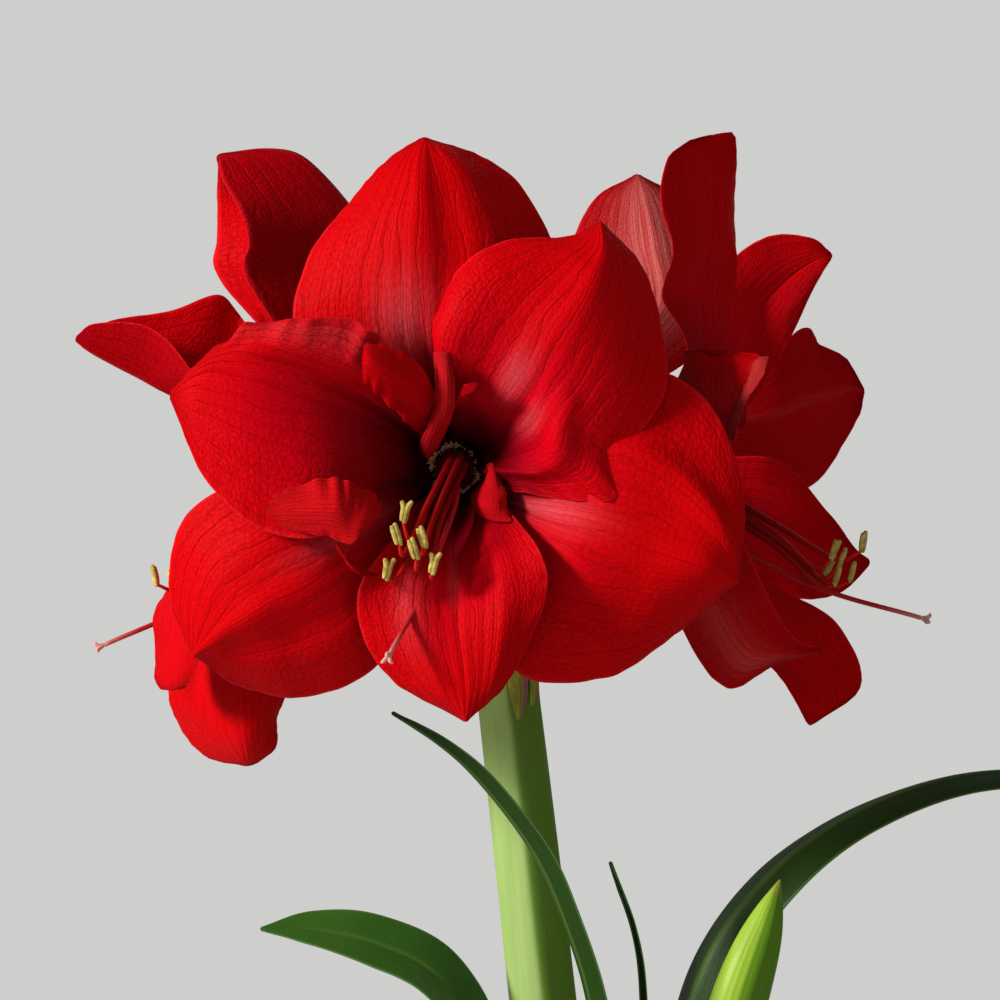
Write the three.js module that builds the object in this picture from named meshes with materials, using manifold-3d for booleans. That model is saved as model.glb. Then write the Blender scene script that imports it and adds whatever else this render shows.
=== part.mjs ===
// An amaryllis in a pot: a plain clay pot of soil, the bulb that stands half out of it, four strap
// leaves, a short stalk with a closed bud, and a tall stalk that carries a head of four red blooms.
// Millimetres, +Z up. The origin is the centre of the pot's flat underside. The head of blooms faces -Y.
//
// Petals and leaves are thin blades. A blade is a list of stations from root to tip, each with three
// points: its left edge, its midrib and its right edge, seen from its inner (upper) face with the tip
// up. Splines run through the stations, and every cross-section is a curve through its three points.

import * as THREE from 'three';
import { mergeVertices } from 'three/addons/utils/BufferGeometryUtils.js';
import Module from 'manifold-3d';

const wasm = await Module();
wasm.setup();

// ---------------------------------------------------------------- driving dimensions

const GAP = 0.3; // clearance between pieces that touch

const POT = { height: 140, baseRadius: 54, topRadius: 77, rimRadius: 83, rimHeight: 24, wall: 6, floor: 9 };
const SOIL_LEVEL = 122;
const BULB = { bottom: 98, top: 188, radius: 47, widest: 138, neckRadius: 25 };

const HEAD_ORIGIN = [-52, 0, 531]; // throat of the front bloom, in the plane of the stalk
const STALK_TOP = [-35, 0, 466];
const STALK_RADIUS = { foot: 14, top: 11.4 };
const STALK_FLARE = 2; // the stalk widens by this at its very top
const STALK_FLAT = 0.9; // its depth over its width

const PEDICEL = { rise: 34, run: 34 }; // how long its foot goes on upwards, and its end along the bloom's axis

const PETAL_THICKNESS = 1.0;
const LEAF_THICKNESS = 1.6;
const INNER_RING = 8; // radius on which a bloom's inner petals stand
const OUTER_RING = 11.6;
const ROOT_FLARE = { inner: 1.9, outer: 2.8 }; // how far a root has opened 7 mm above its ring
const RING_SPREAD = THREE.MathUtils.degToRad(52); // half the angle that a petal's root covers

const PETAL_GRID = { along: 11, across: 6 };
const LEAF_GRID = { along: 16, across: 4 };

// ---------------------------------------------------------------- finishes

const finish = (color, roughness, metalness = 0) => new THREE.MeshStandardMaterial({ color, roughness, metalness });
const FINISH = {
  petal: finish(0xc4060f, 0.55),
  stamen: finish(0xd9c46a, 0.7),
  style: finish(0xb83a35, 0.5),
  stalk: finish(0x93b568, 0.5),
  pedicel: finish(0x6f8f3f, 0.5),
  spathe: finish(0xa9a05a, 0.7),
  bud: finish(0x8fb52b, 0.45),
  leaf: finish(0x2f5f22, 0.45),
  bulb: finish(0x7a4a2a, 0.75),
  soil: finish(0x2d211a, 0.95),
  pot: finish(0xb5653f, 0.85),
};

// ---------------------------------------------------------------- solids

const point = ([x, y, z]) => new THREE.Vector3(x, y, z);

// A closed solid from rings of points: ring k joins ring k + 1, and both end rings are capped by a fan.
function skinRings(rings) {
  const sides = rings[0].length;
  const positions = [];
  const indices = [];
  for (const ring of rings) for (const p of ring) positions.push(p.x, p.y, p.z);
  for (let k = 0; k + 1 < rings.length; k++) {
    for (let i = 0; i < sides; i++) {
      const a = k * sides + i;
      const b = k * sides + ((i + 1) % sides);
      indices.push(a, b, b + sides, a, b + sides, a + sides);
    }
  }
  const cap = (ring, start, flip) => {
    const centre = new THREE.Vector3();
    for (const p of ring) centre.addScaledVector(p, 1 / sides);
    const hub = positions.length / 3;
    positions.push(centre.x, centre.y, centre.z);
    for (let i = 0; i < sides; i++) {
      const a = start + i;
      const b = start + ((i + 1) % sides);
      indices.push(...(flip ? [hub, b, a] : [hub, a, b]));
    }
  };
  cap(rings[0], 0, true);
  cap(rings.at(-1), (rings.length - 1) * sides, false);
  return solidGeometry(positions, indices);
}

function solidGeometry(positions, indices) {
  const geometry = new THREE.BufferGeometry();
  geometry.setAttribute('position', new THREE.Float32BufferAttribute(positions, 3));
  geometry.setIndex(indices);
  geometry.computeVertexNormals();
  return geometry;
}

const spline = (points) => new THREE.CatmullRomCurve3(points, false, 'catmullrom', 0.5);

// A round stem along a spline. radius(t) gives its radius, flatten(t) squeezes it along the side axis.
function stem(points, radius, { sides = 10, steps = 10, side = [0, 1, 0], flatten = () => 1, endAxes = [] } = {}) {
  const curve = spline(points.map(point));
  const rings = [];
  for (let k = 0; k <= steps; k++) {
    const t = k / steps;
    const centre = curve.getPoint(t);
    const tangent = curve.getTangent(t);
    if (k === 0 && endAxes[0]) tangent.copy(point(endAxes[0])).normalize();
    if (k === steps && endAxes[1]) tangent.copy(point(endAxes[1])).normalize();
    const v = point(side).addScaledVector(tangent, -point(side).dot(tangent)).normalize();
    const u = new THREE.Vector3().crossVectors(v, tangent).normalize();
    const ring = [];
    for (let i = 0; i < sides; i++) {
      const angle = (i / sides) * Math.PI * 2;
      ring.push(
        centre.clone()
          .addScaledVector(u, Math.cos(angle) * radius(t))
          .addScaledVector(v, Math.sin(angle) * radius(t) * flatten(t)),
      );
    }
    rings.push(ring);
  }
  return skinRings(rings);
}

// A thin blade through stations of [left, midrib, right]. shape.keel is the power of its cross-section,
// from 1, creased, to 2, round. shape.pillow lifts each half, and the edges are waved shape.ruffle high.
function blade(stations, thickness, grid, shape = {}) {
  const { keel = 1.5, pillow = 0, ruffle = 0, waves = 2.5, phase = 0 } = shape;
  const [left, middle, right] = [0, 1, 2].map((k) => spline(stations.map((station) => station[k])));
  const columns = grid.across + 1;
  const surface = [];
  for (let i = 0; i <= grid.along; i++) {
    const t = i / grid.along;
    const [l, m, r] = [left.getPoint(t), middle.getPoint(t), right.getPoint(t)];
    const halfSpan = r.clone().sub(l).multiplyScalar(0.5);
    const sag = r.clone().add(l).multiplyScalar(0.5).sub(m);
    for (let j = 0; j < columns; j++) {
      const v = -1 + (2 * j) / grid.across;
      surface.push(m.clone().addScaledVector(halfSpan, v).addScaledVector(sag, Math.abs(v) ** keel));
    }
  }
  const at = (i, j) => surface[i * columns + j];
  const normals = surface.map((_, index) => {
    const i = Math.floor(index / columns);
    const j = index % columns;
    const across = at(i, Math.min(j + 1, grid.across)).clone().sub(at(i, Math.max(j - 1, 0)));
    const along = at(Math.min(i + 1, grid.along), j).clone().sub(at(Math.max(i - 1, 0), j));
    return across.cross(along).normalize();
  });
  const positions = [];
  for (const face of [1, -1]) {
    surface.forEach((p, index) => {
      const t = Math.floor(index / columns) / grid.along;
      const v = -1 + (2 * (index % columns)) / grid.across;
      const window = Math.sin(Math.PI * t) ** 2;
      const wave = Math.sin(2 * Math.PI * waves * t + phase + (v > 0 ? 1.3 : 0)) * Math.abs(v) ** 3;
      const lift = pillow * Math.sin(Math.PI * Math.abs(v)) * window + ruffle * wave * window;
      const q = p.clone().addScaledVector(normals[index], lift + (face * thickness) / 2);
      positions.push(q.x, q.y, q.z);
    });
  }
  return solidGeometry(positions, bladeFaces(grid));
}

// Triangles of a blade: both faces are split alike, and a band of quads closes the edge.
function bladeFaces({ along, across }) {
  const columns = across + 1;
  const back = (along + 1) * columns;
  const indices = [];
  for (let i = 0; i < along; i++) {
    for (let j = 0; j < across; j++) {
      const a = i * columns + j;
      const [b, c, d] = [a + 1, a + columns + 1, a + columns];
      indices.push(a, b, c, a, c, d);
      indices.push(back + a, back + c, back + b, back + a, back + d, back + c);
    }
  }
  const edge = [];
  for (let j = 0; j < across; j++) edge.push(j);
  for (let i = 0; i < along; i++) edge.push(i * columns + across);
  for (let j = across; j > 0; j--) edge.push(along * columns + j);
  for (let i = along; i > 0; i--) edge.push(i * columns);
  edge.forEach((a, k) => {
    const b = edge[(k + 1) % edge.length];
    indices.push(a, back + a, back + b, a, back + b, b);
  });
  return indices;
}

// Joins closed geometries into one solid.
function join(...geometries) {
  const solids = geometries.map((geometry) => {
    const bare = geometry.clone();
    bare.deleteAttribute('normal');
    bare.deleteAttribute('uv');
    const merged = mergeVertices(bare, 1e-4);
    return new wasm.Manifold(
      new wasm.Mesh({
        numProp: 3,
        vertProperties: merged.attributes.position.array,
        triVerts: new Uint32Array(merged.index.array),
      }),
    );
  });
  const mesh = solids.reduce((sum, solid) => sum.add(solid)).getMesh();
  return solidGeometry(Array.from(mesh.vertProperties), Array.from(mesh.triVerts));
}

function named(name, geometry, material) {
  const mesh = new THREE.Mesh(geometry, material);
  mesh.name = name;
  return mesh;
}

// ---------------------------------------------------------------- pot, soil and bulb

const lathe = (profile, segments = 30) =>
  new THREE.LatheGeometry(profile.map(([r, z]) => new THREE.Vector2(r, z)), segments).rotateX(Math.PI / 2);

// Radius of the pot's outer wall at height z.
const wallRadius = (z) => POT.baseRadius + ((POT.topRadius - POT.baseRadius) * z) / POT.height;

function pot() {
  const rimFoot = POT.height - POT.rimHeight;
  const innerTop = wallRadius(POT.height) - POT.wall;
  const innerFloor = wallRadius(POT.floor) - POT.wall;
  const geometry = lathe([
    [0, 0], [POT.baseRadius - 3, 0], [POT.baseRadius, 3],
    [wallRadius(rimFoot), rimFoot], [POT.rimRadius - 2, rimFoot + 1.5], [POT.rimRadius - 0.5, rimFoot + 5],
    [POT.rimRadius, POT.height - 4], [POT.rimRadius - 3, POT.height], [innerTop + 2, POT.height],
    [innerTop, POT.height - 3], [innerFloor, POT.floor], [0, POT.floor],
  ]);
  return named('pot', geometry, FINISH.pot);
}

// Radius of the bulb at height z: a rounded body that draws in to a straight neck.
function bulbProfile() {
  const { bottom, top, radius, widest, neckRadius } = BULB;
  return [
    [0, bottom], [radius * 0.42, bottom + 3], [radius * 0.76, bottom + 13], [radius * 0.95, widest - 16],
    [radius, widest], [radius * 0.93, widest + 12], [radius * 0.76, widest + 24],
    [neckRadius + 4, widest + 35], [neckRadius, top - 6], [neckRadius, top], [0, top],
  ];
}

function bulb() {
  return named('bulb', lathe(bulbProfile(), 28), FINISH.bulb);
}

function soil() {
  const seat = bulbProfile().filter(([, z]) => z < SOIL_LEVEL);
  const clear = POT.wall + GAP;
  const [r0, z0] = [BULB.radius * 0.95, BULB.widest - 16];
  const seatTop = r0 + ((BULB.radius - r0) * Math.max(0, SOIL_LEVEL - z0)) / (BULB.widest - z0);
  const geometry = lathe([
    [0, POT.floor + GAP], [wallRadius(POT.floor) - clear, POT.floor + GAP],
    [wallRadius(SOIL_LEVEL - 2) - clear, SOIL_LEVEL - 2], [wallRadius(SOIL_LEVEL) - clear - 6, SOIL_LEVEL + 1.5],
    [seatTop + 7, SOIL_LEVEL + 1], [seatTop + 1.5 * GAP, SOIL_LEVEL - 1],
    ...seat.reverse().map(([r, z]) => [r > 0 ? r + 1.5 * GAP : 0, z - 1.5 * GAP]),
  ]);
  return named('soil', geometry, FINISH.soil);
}

// ---------------------------------------------------------------- stalks, bud and leaves

const NECK_TOP = BULB.top + GAP;

function mainStalk() {
  const top = STALK_TOP;
  const path = [[-6, 6, NECK_TOP], [-9.5, 5, 240], [-17.3, 3, 310], [-26.6, 1, 394], top];
  const { foot, top: tip } = STALK_RADIUS;
  const radius = (t) => THREE.MathUtils.lerp(foot, tip, t) + STALK_FLARE * Math.max(0, (t - 0.93) / 0.07);
  const geometry = stem(path, radius, {
    sides: 16, steps: 12, flatten: () => STALK_FLAT, endAxes: [[0, 0, 1], [0, 0, 1]],
  });
  return named('main_stalk', geometry, FINISH.stalk);
}

function budStalk() {
  const path = [[15, 1, NECK_TOP], [19, -2, 220], [28, -8, 262], [37, -11, 292]];
  const geometry = stem(path, (t) => 7.5 - t, { sides: 12, steps: 6, endAxes: [[0, 0, 1], [0.25, -0.06, 0.97]] });
  return named('bud_stalk', geometry, FINISH.stalk);
}

function bud() {
  const path = [[37.1, -11, 292.4], [43, -12, 318], [51, -13, 345], [59, -13, 368], [64.3, -13, 384]];
  const outline = [6.3, 9.8, 10.6, 8.6, 5.2, 2.2, 0.7];
  const radius = (t) => {
    const place = t * (outline.length - 1);
    const k = Math.min(Math.floor(place), outline.length - 2);
    return THREE.MathUtils.lerp(outline[k], outline[k + 1], place - k);
  };
  const geometry = stem(path, radius, {
    sides: 12, steps: 10, flatten: (t) => 1 - 0.3 * Math.min(1, 3 * t), endAxes: [[0.25, -0.06, 0.97]],
  });
  return named('bud', geometry, FINISH.bud);
}

// The two dried valves that enclosed the buds hang from the stalk's top. Each row is the angle of the
// midrib about the stalk from the front, half the angle covered, the clearance to the stalk and z.
const SPATHES = {
  spathe_front: [[22, 20, 1, 465], [22, 17, 2.5, 458], [21, 11, 5.5, 450], [19, 2, 6.5, 442]],
  spathe_side: [[67, 19, 1, 465], [60, 14, 2.5, 458], [50, 8, 5, 450], [42, 2, 4.5, 444]],
};

function spathe(name) {
  const radius = STALK_RADIUS.top + STALK_FLARE;
  const stations = SPATHES[name].map(([angle, half, clear, z]) =>
    [-1, 0, 1].map((side) => {
      const turn = THREE.MathUtils.degToRad(angle + side * half);
      const [rx, ry] = [radius + clear, radius * STALK_FLAT + clear];
      return new THREE.Vector3(STALK_TOP[0] + rx * Math.sin(turn), STALK_TOP[1] - ry * Math.cos(turn), z);
    }),
  );
  return named(name, blade(stations, PETAL_THICKNESS, { along: 6, across: 4 }, { keel: 1.6 }), FINISH.spathe);
}

// Stations of a strap leaf. Each row is [x, y, z of the midrib, half width, turn, fold]: turn is the
// angle of the blade about its midrib, and fold how far its edges rise above the midrib.
function leafStations(rows) {
  const centres = rows.map((row) => point(row));
  const curve = spline(centres);
  return rows.map(([, , , half, turn, fold], k) => {
    const tangent = curve.getTangent(k / (rows.length - 1));
    const side = new THREE.Vector3(0, 1, 0).addScaledVector(tangent, -tangent.y).normalize();
    side.applyAxisAngle(tangent, THREE.MathUtils.degToRad(turn));
    const up = new THREE.Vector3().crossVectors(side, tangent).normalize();
    const edge = (sign) => centres[k].clone().addScaledVector(side, sign * half).addScaledVector(up, fold);
    return [edge(-1), centres[k], edge(1)];
  });
}

const LEAVES = {
  leaf_front: [
    [5, -17, NECK_TOP + 0.5, 7, 80, 1], [7, -20, 240, 10, 60, 2], [3, -24, 295, 9, 35, 2],
    [-3, -27, 340, 8, 27, 2], [-12.5, -30, 371, 8, 25, 2], [-24, -32, 396, 7.5, 25, 2], [-43.5, -35, 421.5, 5.5, 28, 1.5],
    [-59, -38, 435, 3, 30, 1], [-74, -40, 444.5, 0.7, 30, 0],
  ],
  leaf_thin: [
    [7, -11.5, NECK_TOP + 0.5, 4, 75, 0.5], [11.5, -10, 240, 5.5, 40, 1], [15, -11, 295, 5, 15, 1],
    [15.2, -11, 340, 4.2, 8, 1], [12.3, -11, 365, 2.8, 5, 0.6], [3.6, -11, 390, 0.6, 5, 0],
  ],
  leaf_left: [
    [-20, -12, NECK_TOP + 0.5, 5, -35, 1], [-26, -17, 235, 11, -25, 3], [-35, -20, 290, 13.5, -20, 3],
    [-45, -20, 328, 14, -28, 3], [-60, -19, 350.5, 13.5, -40, 2.5], [-81, -20, 361.5, 12, -46, 2],
    [-103, -22, 366.5, 8, -46, 1.2], [-121, -24, 367, 0.9, -46, 0],
  ],
  leaf_right: [
    [21, 10, NECK_TOP + 0.5, 6, 30, 1], [22, 12, 240, 13, 28, 3], [26, 14, 300, 16, 27, 4],
    [37, 14, 348, 17, 27, 4], [60, 13, 382, 17, 24, 4], [92, 12, 406, 15.5, 17, 3.5],
    [132, 10, 420, 12.5, 14, 3], [172, 8, 420, 9, 14, 2], [204, 6, 409, 5, 14, 1], [226, 4, 396, 0.9, 14, 0],
  ],
};

function leaf(name) {
  return named(name, blade(leafStations(LEAVES[name]), LEAF_THICKNESS, LEAF_GRID, { keel: 1.3 }), FINISH.leaf);
}

// ---------------------------------------------------------------- blooms

// A bloom's frame: its throat, its axis out of the flower, and the directions of azimuth 0 and 90
// degrees, up and to the right of someone who looks into the flower.
function bloomFrame({ throat, axis }) {
  const out = point(axis).normalize();
  const up = new THREE.Vector3(0, 0, 1).addScaledVector(out, -out.z).normalize();
  const right = new THREE.Vector3().crossVectors(up, out);
  const at = (along, radius, azimuth) =>
    point(throat)
      .addScaledVector(out, along)
      .addScaledVector(up, Math.cos(azimuth) * radius)
      .addScaledVector(right, Math.sin(azimuth) * radius);
  return { throat: point(throat), out, up, right, at };
}

// The two stations on which a petal leaves the flower's tube, at the given azimuth.
function petalRoot(frame, azimuth, ring, flare) {
  const centre = THREE.MathUtils.degToRad(azimuth);
  const row = (along, radius) =>
    [-1, 0, 1].map((side) => frame.at(along, radius, centre + side * RING_SPREAD));
  return [row(GAP, ring), row(7, ring + flare)];
}

// Depth of the front bloom's trumpet at a distance from its axis: steep at the throat, then flat.
function trumpet(radius, ring, reach) {
  const beyond = Math.max(0, radius - ring);
  return reach * (1 - Math.exp(-beyond / 22)) - 12 * (beyond / 92) ** 3;
}

// Stations of a petal of the front bloom from rows of [left x, z, back, midrib x, z, back, right x, z, back]:
// places seen from in front, and how far each lies behind the trumpet.
function facingStations(rows, ring, reach) {
  return rows.map((row) =>
    [0, 3, 6].map((k) => {
      const [x, z, back] = row.slice(k, k + 3);
      return new THREE.Vector3(x, FRONT.throat[1] - trumpet(Math.hypot(x, z), ring, reach) + back, z);
    }),
  );
}

// Stations of an evenly grown petal: it leaves the tube, spreads and bends back. length scales its
// reach, width its breadth, open how far it spreads, and fold how far its edges come forward.
function grownStations(frame, azimuth, { length = 1, width = 1, open = 1, fold = 0.12, back = 0 }) {
  const rows = [[17, 19, 15], [38, 36, 26], [54, 60, 32], [60, 84, 28], [57, 103, 16], [53, 113, 1.4]];
  const angle = THREE.MathUtils.degToRad(azimuth);
  return rows.map(([along, radius, half]) =>
    [-1, 0, 1].map((side) => {
      const forward = along * length * (2 - open) - back * (radius / 60) + Math.abs(side) * fold * half;
      const spread = frame.at(forward, radius * length * open, angle);
      const across = frame.right.clone().multiplyScalar(Math.cos(angle)).addScaledVector(frame.up, -Math.sin(angle));
      return spread.addScaledVector(across, side * half * width);
    }),
  );
}

const placedStations = (rows) =>
  rows.map((row) => [row.slice(0, 3), row.slice(3, 6), row.slice(6, 9)].map((place) => point(place)));

const FRONT = { throat: [0, -38, 0], axis: [0, -1, 0] };
const LEFT = { throat: [-34, 10, 0], axis: [-0.95, 0.02, -0.3] };
const RIGHT = { throat: [60, 5, 3], axis: [0.9, -0.28, -0.3] };
const BACK = { throat: [32, 54, 20], axis: [0.38, 0.9, -0.12] };

// Petals in the order of growth: three outer ones behind, three inner ones in front.
const PETALS = {
  front: {
    bloom: FRONT,
    outer: {
      top: {
        azimuth: -12,
        facing: [
          [-24, 18, 0, -6, 24, 0, 14, 22, 0],
          [-58, 44, 2, -11, 50, -3, 34, 46, 2],
          [-51, 75, 5, -12, 76, -4, 38, 72, 5],
          [-35, 97, 6, -12, 98, -3, 24, 99, 6],
          [-22, 109.5, 5, -11.5, 111, 0, 8, 110, 5],
          [-12.5, 116, 3, -11, 116.2, 2, -9.5, 116, 3],
        ],
        shape: { keel: 1.25, pillow: 1.5, ruffle: 1, phase: 0.5 },
      },
      lower_right: {
        azimuth: 108,
        facing: [
          [26, 8, 0, 21, -13, 0, 8, -24, 0],
          [62, 34, 2, 48, -20, -2, 20, -70, 3],
          [87, 25, 3, 72, -27, -5, 52, -72, 6],
          [101, -6, 4, 90, -34, -3, 78, -57, 7],
          [99.8, -37.8, 2, 99.3, -39.4, 1, 98, -40.5, 3],
        ],
        shape: { keel: 1.3, pillow: 2, ruffle: 1.2, phase: 2.1 },
      },
      lower_left: {
        azimuth: -132,
        facing: [
          [-6, -24, 0, -18, -15, 0, -26, -3, 0],
          [-26, -66, 4, -44, -35, -3, -66, -1, 3],
          [-52, -79, 6, -66, -49, -4, -95, -17, 4],
          [-74, -76, 5, -82, -58, -1, -99, -44, 5],
          [-90.5, -66, 2, -91.8, -65, 1, -92.8, -63.4, 2],
        ],
        shape: { keel: 1.25, pillow: 2, ruffle: 1, phase: 4.2 },
      },
    },
    inner: {
      upper_left: {
        azimuth: -72,
        facing: [
          [-23, -8, -2, -20, 13, 2, -8, 25, -2],
          [-45, -22, -4, -42, 21, 4, -28, 48, -3],
          [-68, -21, 0, -66, 27, 3, -60, 51, 0],
          [-87, -2, 2, -86, 29, 2, -80, 46, 3],
          [-99.4, 25, 3, -99.6, 26.6, 3, -98.9, 28.3, 3],
        ],
        shape: { keel: 1.4, pillow: 2.5, ruffle: 2, phase: 1 },
      },
      upper_right: {
        azimuth: 46,
        facing: [
          [-3.5, 24, -2, 12, 10, 2, 20, -7, -1],
          [-12, 46, -4, 25, 28, -3, 52, -9, -2],
          [4, 73, -2, 38, 48, -7, 70, 15, 2],
          [32, 81, 0, 46, 66, -8, 73.5, 40, 4],
          [45, 82.5, 1, 50, 80, -4, 65, 70, 4],
          [50, 86, 1, 51, 86.5, 0, 52.4, 85.6, 1],
        ],
        shape: { keel: 1.15, pillow: 2, ruffle: 1.5, phase: 3 },
      },
      bottom: {
        azimuth: 168,
        facing: [
          [16, -12, -2, -1, -18, 2, -18, -19, -2],
          [29, -28, -4, -1, -36, 4, -33, -36, -4],
          [31, -47, -2, 0, -56, 3, -32, -55, -2],
          [18, -73, 1, 3, -76, 2, -20, -71, 1],
          [4.8, -87.2, 2, 3.4, -88, 2, 2, -87.4, 2],
        ],
        shape: { keel: 1.6, pillow: 1, ruffle: 1.5, phase: 0.4 },
      },
    },
    anthers: [[-11, -93, -24], [-7, -95, -33], [-14, -97, -28], [-23, -95, -35], [-20, -97, -23], [-17, -93, -15]],
    stigma: [-22, -101, -64],
  },
  left: {
    bloom: LEFT,
    outer: {
      up: {
        azimuth: 0,
        placed: [
          [-54, 34, 36, -33, 10, 36, -54, -10, 36],
          [-84, 40, 66, -32, 12, 72, -74, -16, 70],
          [-85, 34, 88, -42, 12, 99, -76, -12, 90],
          [-85, 20, 105, -64, 11, 115, -83, -2, 105],
          [-85.6, 9, 113.2, -85, 8, 114.2, -85.4, 7, 113.2],
        ],
        shape: { keel: 1.3, pillow: 2, ruffle: 1.2, phase: 1 },
      },
      lower_near: {
        azimuth: 120,
        placed: [
          [-54, -28, 4, -52, -22, -18, -46, -2, -30],
          [-84, -52, -6, -78, -42, -30, -64, -18, -54],
          [-105, -50, -34, -98, -44, -52, -84, -26, -70],
          [-108, -42, -68, -104, -38, -76, -96, -32, -79],
          [-106, -37, -81, -104.8, -36.5, -82, -103.6, -36, -81.6],
        ],
        shape: { keel: 1.6, pillow: 1, ruffle: 0.8, phase: 2 },
      },
      lower_far: { azimuth: 240, grown: { length: 0.93, open: 0.95, back: 2 }, shape: { ruffle: 1.2, phase: 3 } },
    },
    inner: {
      near_up: {
        azimuth: 60,
        placed: [
          [-58, -8, 20, -58, -14, 10, -60, -16, -4],
          [-72, -24, 38, -76, -32, 18, -78, -34, -4],
          [-80, -36, 38, -86, -42, 18, -86, -43, 2],
          [-86, -45, 24, -88, -46, 17, -88, -47, 12],
          [-88.5, -48, 16.5, -89, -48.4, 15.2, -89, -48.6, 13.9],
        ],
        shape: { keel: 1.6, pillow: 1, ruffle: 1, phase: 5 },
      },
      bottom: {
        azimuth: 180,
        placed: [
          [-62, -8, -24, -48, 10, -32, -62, 26, -22],
          [-86, -20, -58, -58, 8, -62, -88, 38, -56],
          [-103, -17, -80, -62, 6, -86, -104, 34, -77],
          [-95, -10, -98, -65, 5, -100, -96, 22, -95],
          [-76.2, 3, -106.8, -74.6, 4, -106.6, -76, 5, -106.4],
        ],
        shape: { keel: 1.4, pillow: 1.5, ruffle: 1.2, phase: 0 },
      },
      far_up: {
        azimuth: 300,
        placed: [
          [-62, 32, -4, -62, 30, 16, -60, 18, 30],
          [-86, 24, 12, -82, 33, 20, -76, 30, 52],
          [-94, 10, 34, -103, 24, 27, -86, 28, 63.5],
          [-110, 10, 51, -116, 20, 34, -104, 26, 57.5],
          [-130, 14, 53, -131, 17, 42, -124, 22, 54.5],
          [-137.4, 16, 48.4, -137.6, 16.6, 46.6, -136.6, 17.6, 48.6],
        ],
        shape: { keel: 1.3, pillow: 1.5, ruffle: 0.8, phase: 2 },
      },
    },
    anthers: [[-107, -24, -38], [-101, -10, -44], [-102, 4, -40], [-90, 17, -52], [-99, 21, -44], [-98, 8, -32]],
    stigma: [-126, -8, -63],
  },
  right: {
    bloom: RIGHT,
    outer: {
      up: {
        azimuth: 0,
        placed: [
          [66, -12, 32, 66, 6, 38, 76, 20, 34],
          [75, -15, 60, 84, 8, 64, 94, 22, 60],
          [78, -14, 80, 95, 8, 86, 100, 20, 84],
          [74.5, -12, 102, 93, 8, 104, 101.5, 16, 106],
          [80, -5, 117, 90, 6, 116, 100.5, 10, 119],
          [87, 2, 121, 89.5, 4, 121.4, 92, 6, 121.8],
        ],
        shape: { keel: 1.3, pillow: 1.5, ruffle: 1.2, phase: 0 },
      },
      lower_far: {
        azimuth: 120,
        placed: [
          [80, 40, 2, 76, 32, -16, 70, 16, -28],
          [116, 50, 4, 110, 46, -18, 102, 34, -40],
          [136, 50, -15, 132, 46, -30, 124, 36, -47],
          [146, 44, -28.5, 146, 42, -35, 140, 38, -45],
          [150.6, 40, -32.4, 151, 39.6, -33.8, 150.6, 39.2, -35.2],
        ],
        shape: { keel: 1.5, pillow: 1.5, ruffle: 1, phase: 1 },
      },
      lower_near: {
        azimuth: 240,
        placed: [
          [66, -8, -28, 68, -20, -16, 72, -28, 2],
          [82, -18, -58, 90, -36, -44, 98, -48, -20],
          [97, -24, -78, 104, -38, -64, 112, -46, -48],
          [114, -28, -70, 118, -34, -66, 121.5, -37, -61],
          [129.4, -30, -65.8, 130, -30.4, -64.8, 130.4, -31, -63.6],
        ],
        shape: { keel: 1.6, pillow: 2, ruffle: 0.8, phase: 2 },
      },
    },
    inner: {
      far_up: {
        azimuth: 60,
        placed: [
          [84, 21, 36, 86, 28, 20, 84, 28, 0],
          [98, 32, 72, 104, 40, 50, 106, 46, 22],
          [113, 34, 85, 118, 40, 67, 121, 44, 46],
          [129, 33, 84.5, 130, 37, 76, 131, 40, 67],
          [136.4, 33, 79.4, 137, 33.6, 78, 136.6, 34.2, 76.6],
        ],
        shape: { keel: 1.4, pillow: 1.5, ruffle: 1, phase: 4 },
      },
      bottom: {
        azimuth: 180,
        placed: [
          [86, 20, -22, 80, 6, -24, 76, -8, -18],
          [114, 28, -40, 102, 12, -48, 92, -8, -44],
          [138, 24, -56, 120, 12, -70, 107, -4, -63],
          [147, 18, -78, 131, 10, -84, 118, 2, -76],
          [130, 9, -91.4, 128, 8, -92.2, 126.4, 7, -90.8],
        ],
        shape: { keel: 1.6, pillow: 1.5, ruffle: 1.2, phase: 3 },
      },
      near_up: {
        azimuth: 300,
        placed: [
          [78, -20, 4, 76, -12, 18, 76, -4, 28],
          [96, -38, 10, 92, -34, 30, 82, -20, 46],
          [106, -50, 28, 102, -48, 37, 94, -38, 43],
          [111.6, -54, 37, 109, -53, 41, 104, -49, 44],
          [111.4, -54.5, 40.4, 110.6, -54.6, 41.8, 109.6, -54.6, 42.8],
        ],
        shape: { keel: 1.4, pillow: 1, ruffle: 1.5, phase: 1 },
      },
    },
    anthers: [[146, -14, -26], [135.5, -18, -29], [138.5, -12, -32], [136.4, -20, -38], [142, -15, -37], [134, -8, -35]],
    stigma: [166, -24, -53],
  },
  back: {
    bloom: BACK,
    outer: {
      top: {
        azimuth: -20,
        placed: [
          [72, 68, 32, 56, 70, 42, 38, 70, 42],
          [97, 84, 52, 76, 86, 60, 50, 82, 62],
          [96, 90, 84, 74, 94, 84, 43, 88, 82],
          [84, 88, 101, 70, 90, 102, 51, 87, 101],
          [68.6, 85, 109.4, 67, 85, 110, 65.4, 85, 109.4],
        ],
        shape: { keel: 1.5, pillow: 1.5, ruffle: 1, phase: 1 },
      },
      lower_left: { azimuth: 105, grown: { length: 0.85, open: 1, fold: 0.06, back: 10 }, shape: { ruffle: 1.2, phase: 2 } },
      lower_right: { azimuth: 225, grown: { length: 0.85, open: 1, fold: 0.06, back: 10 }, shape: { ruffle: 1.2, phase: 5 } },
    },
    inner: {
      upper_left: { azimuth: 42, grown: { length: 0.82, open: 1, fold: 0.18, width: 0.92 }, shape: { ruffle: 1.4, phase: 1 } },
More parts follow.
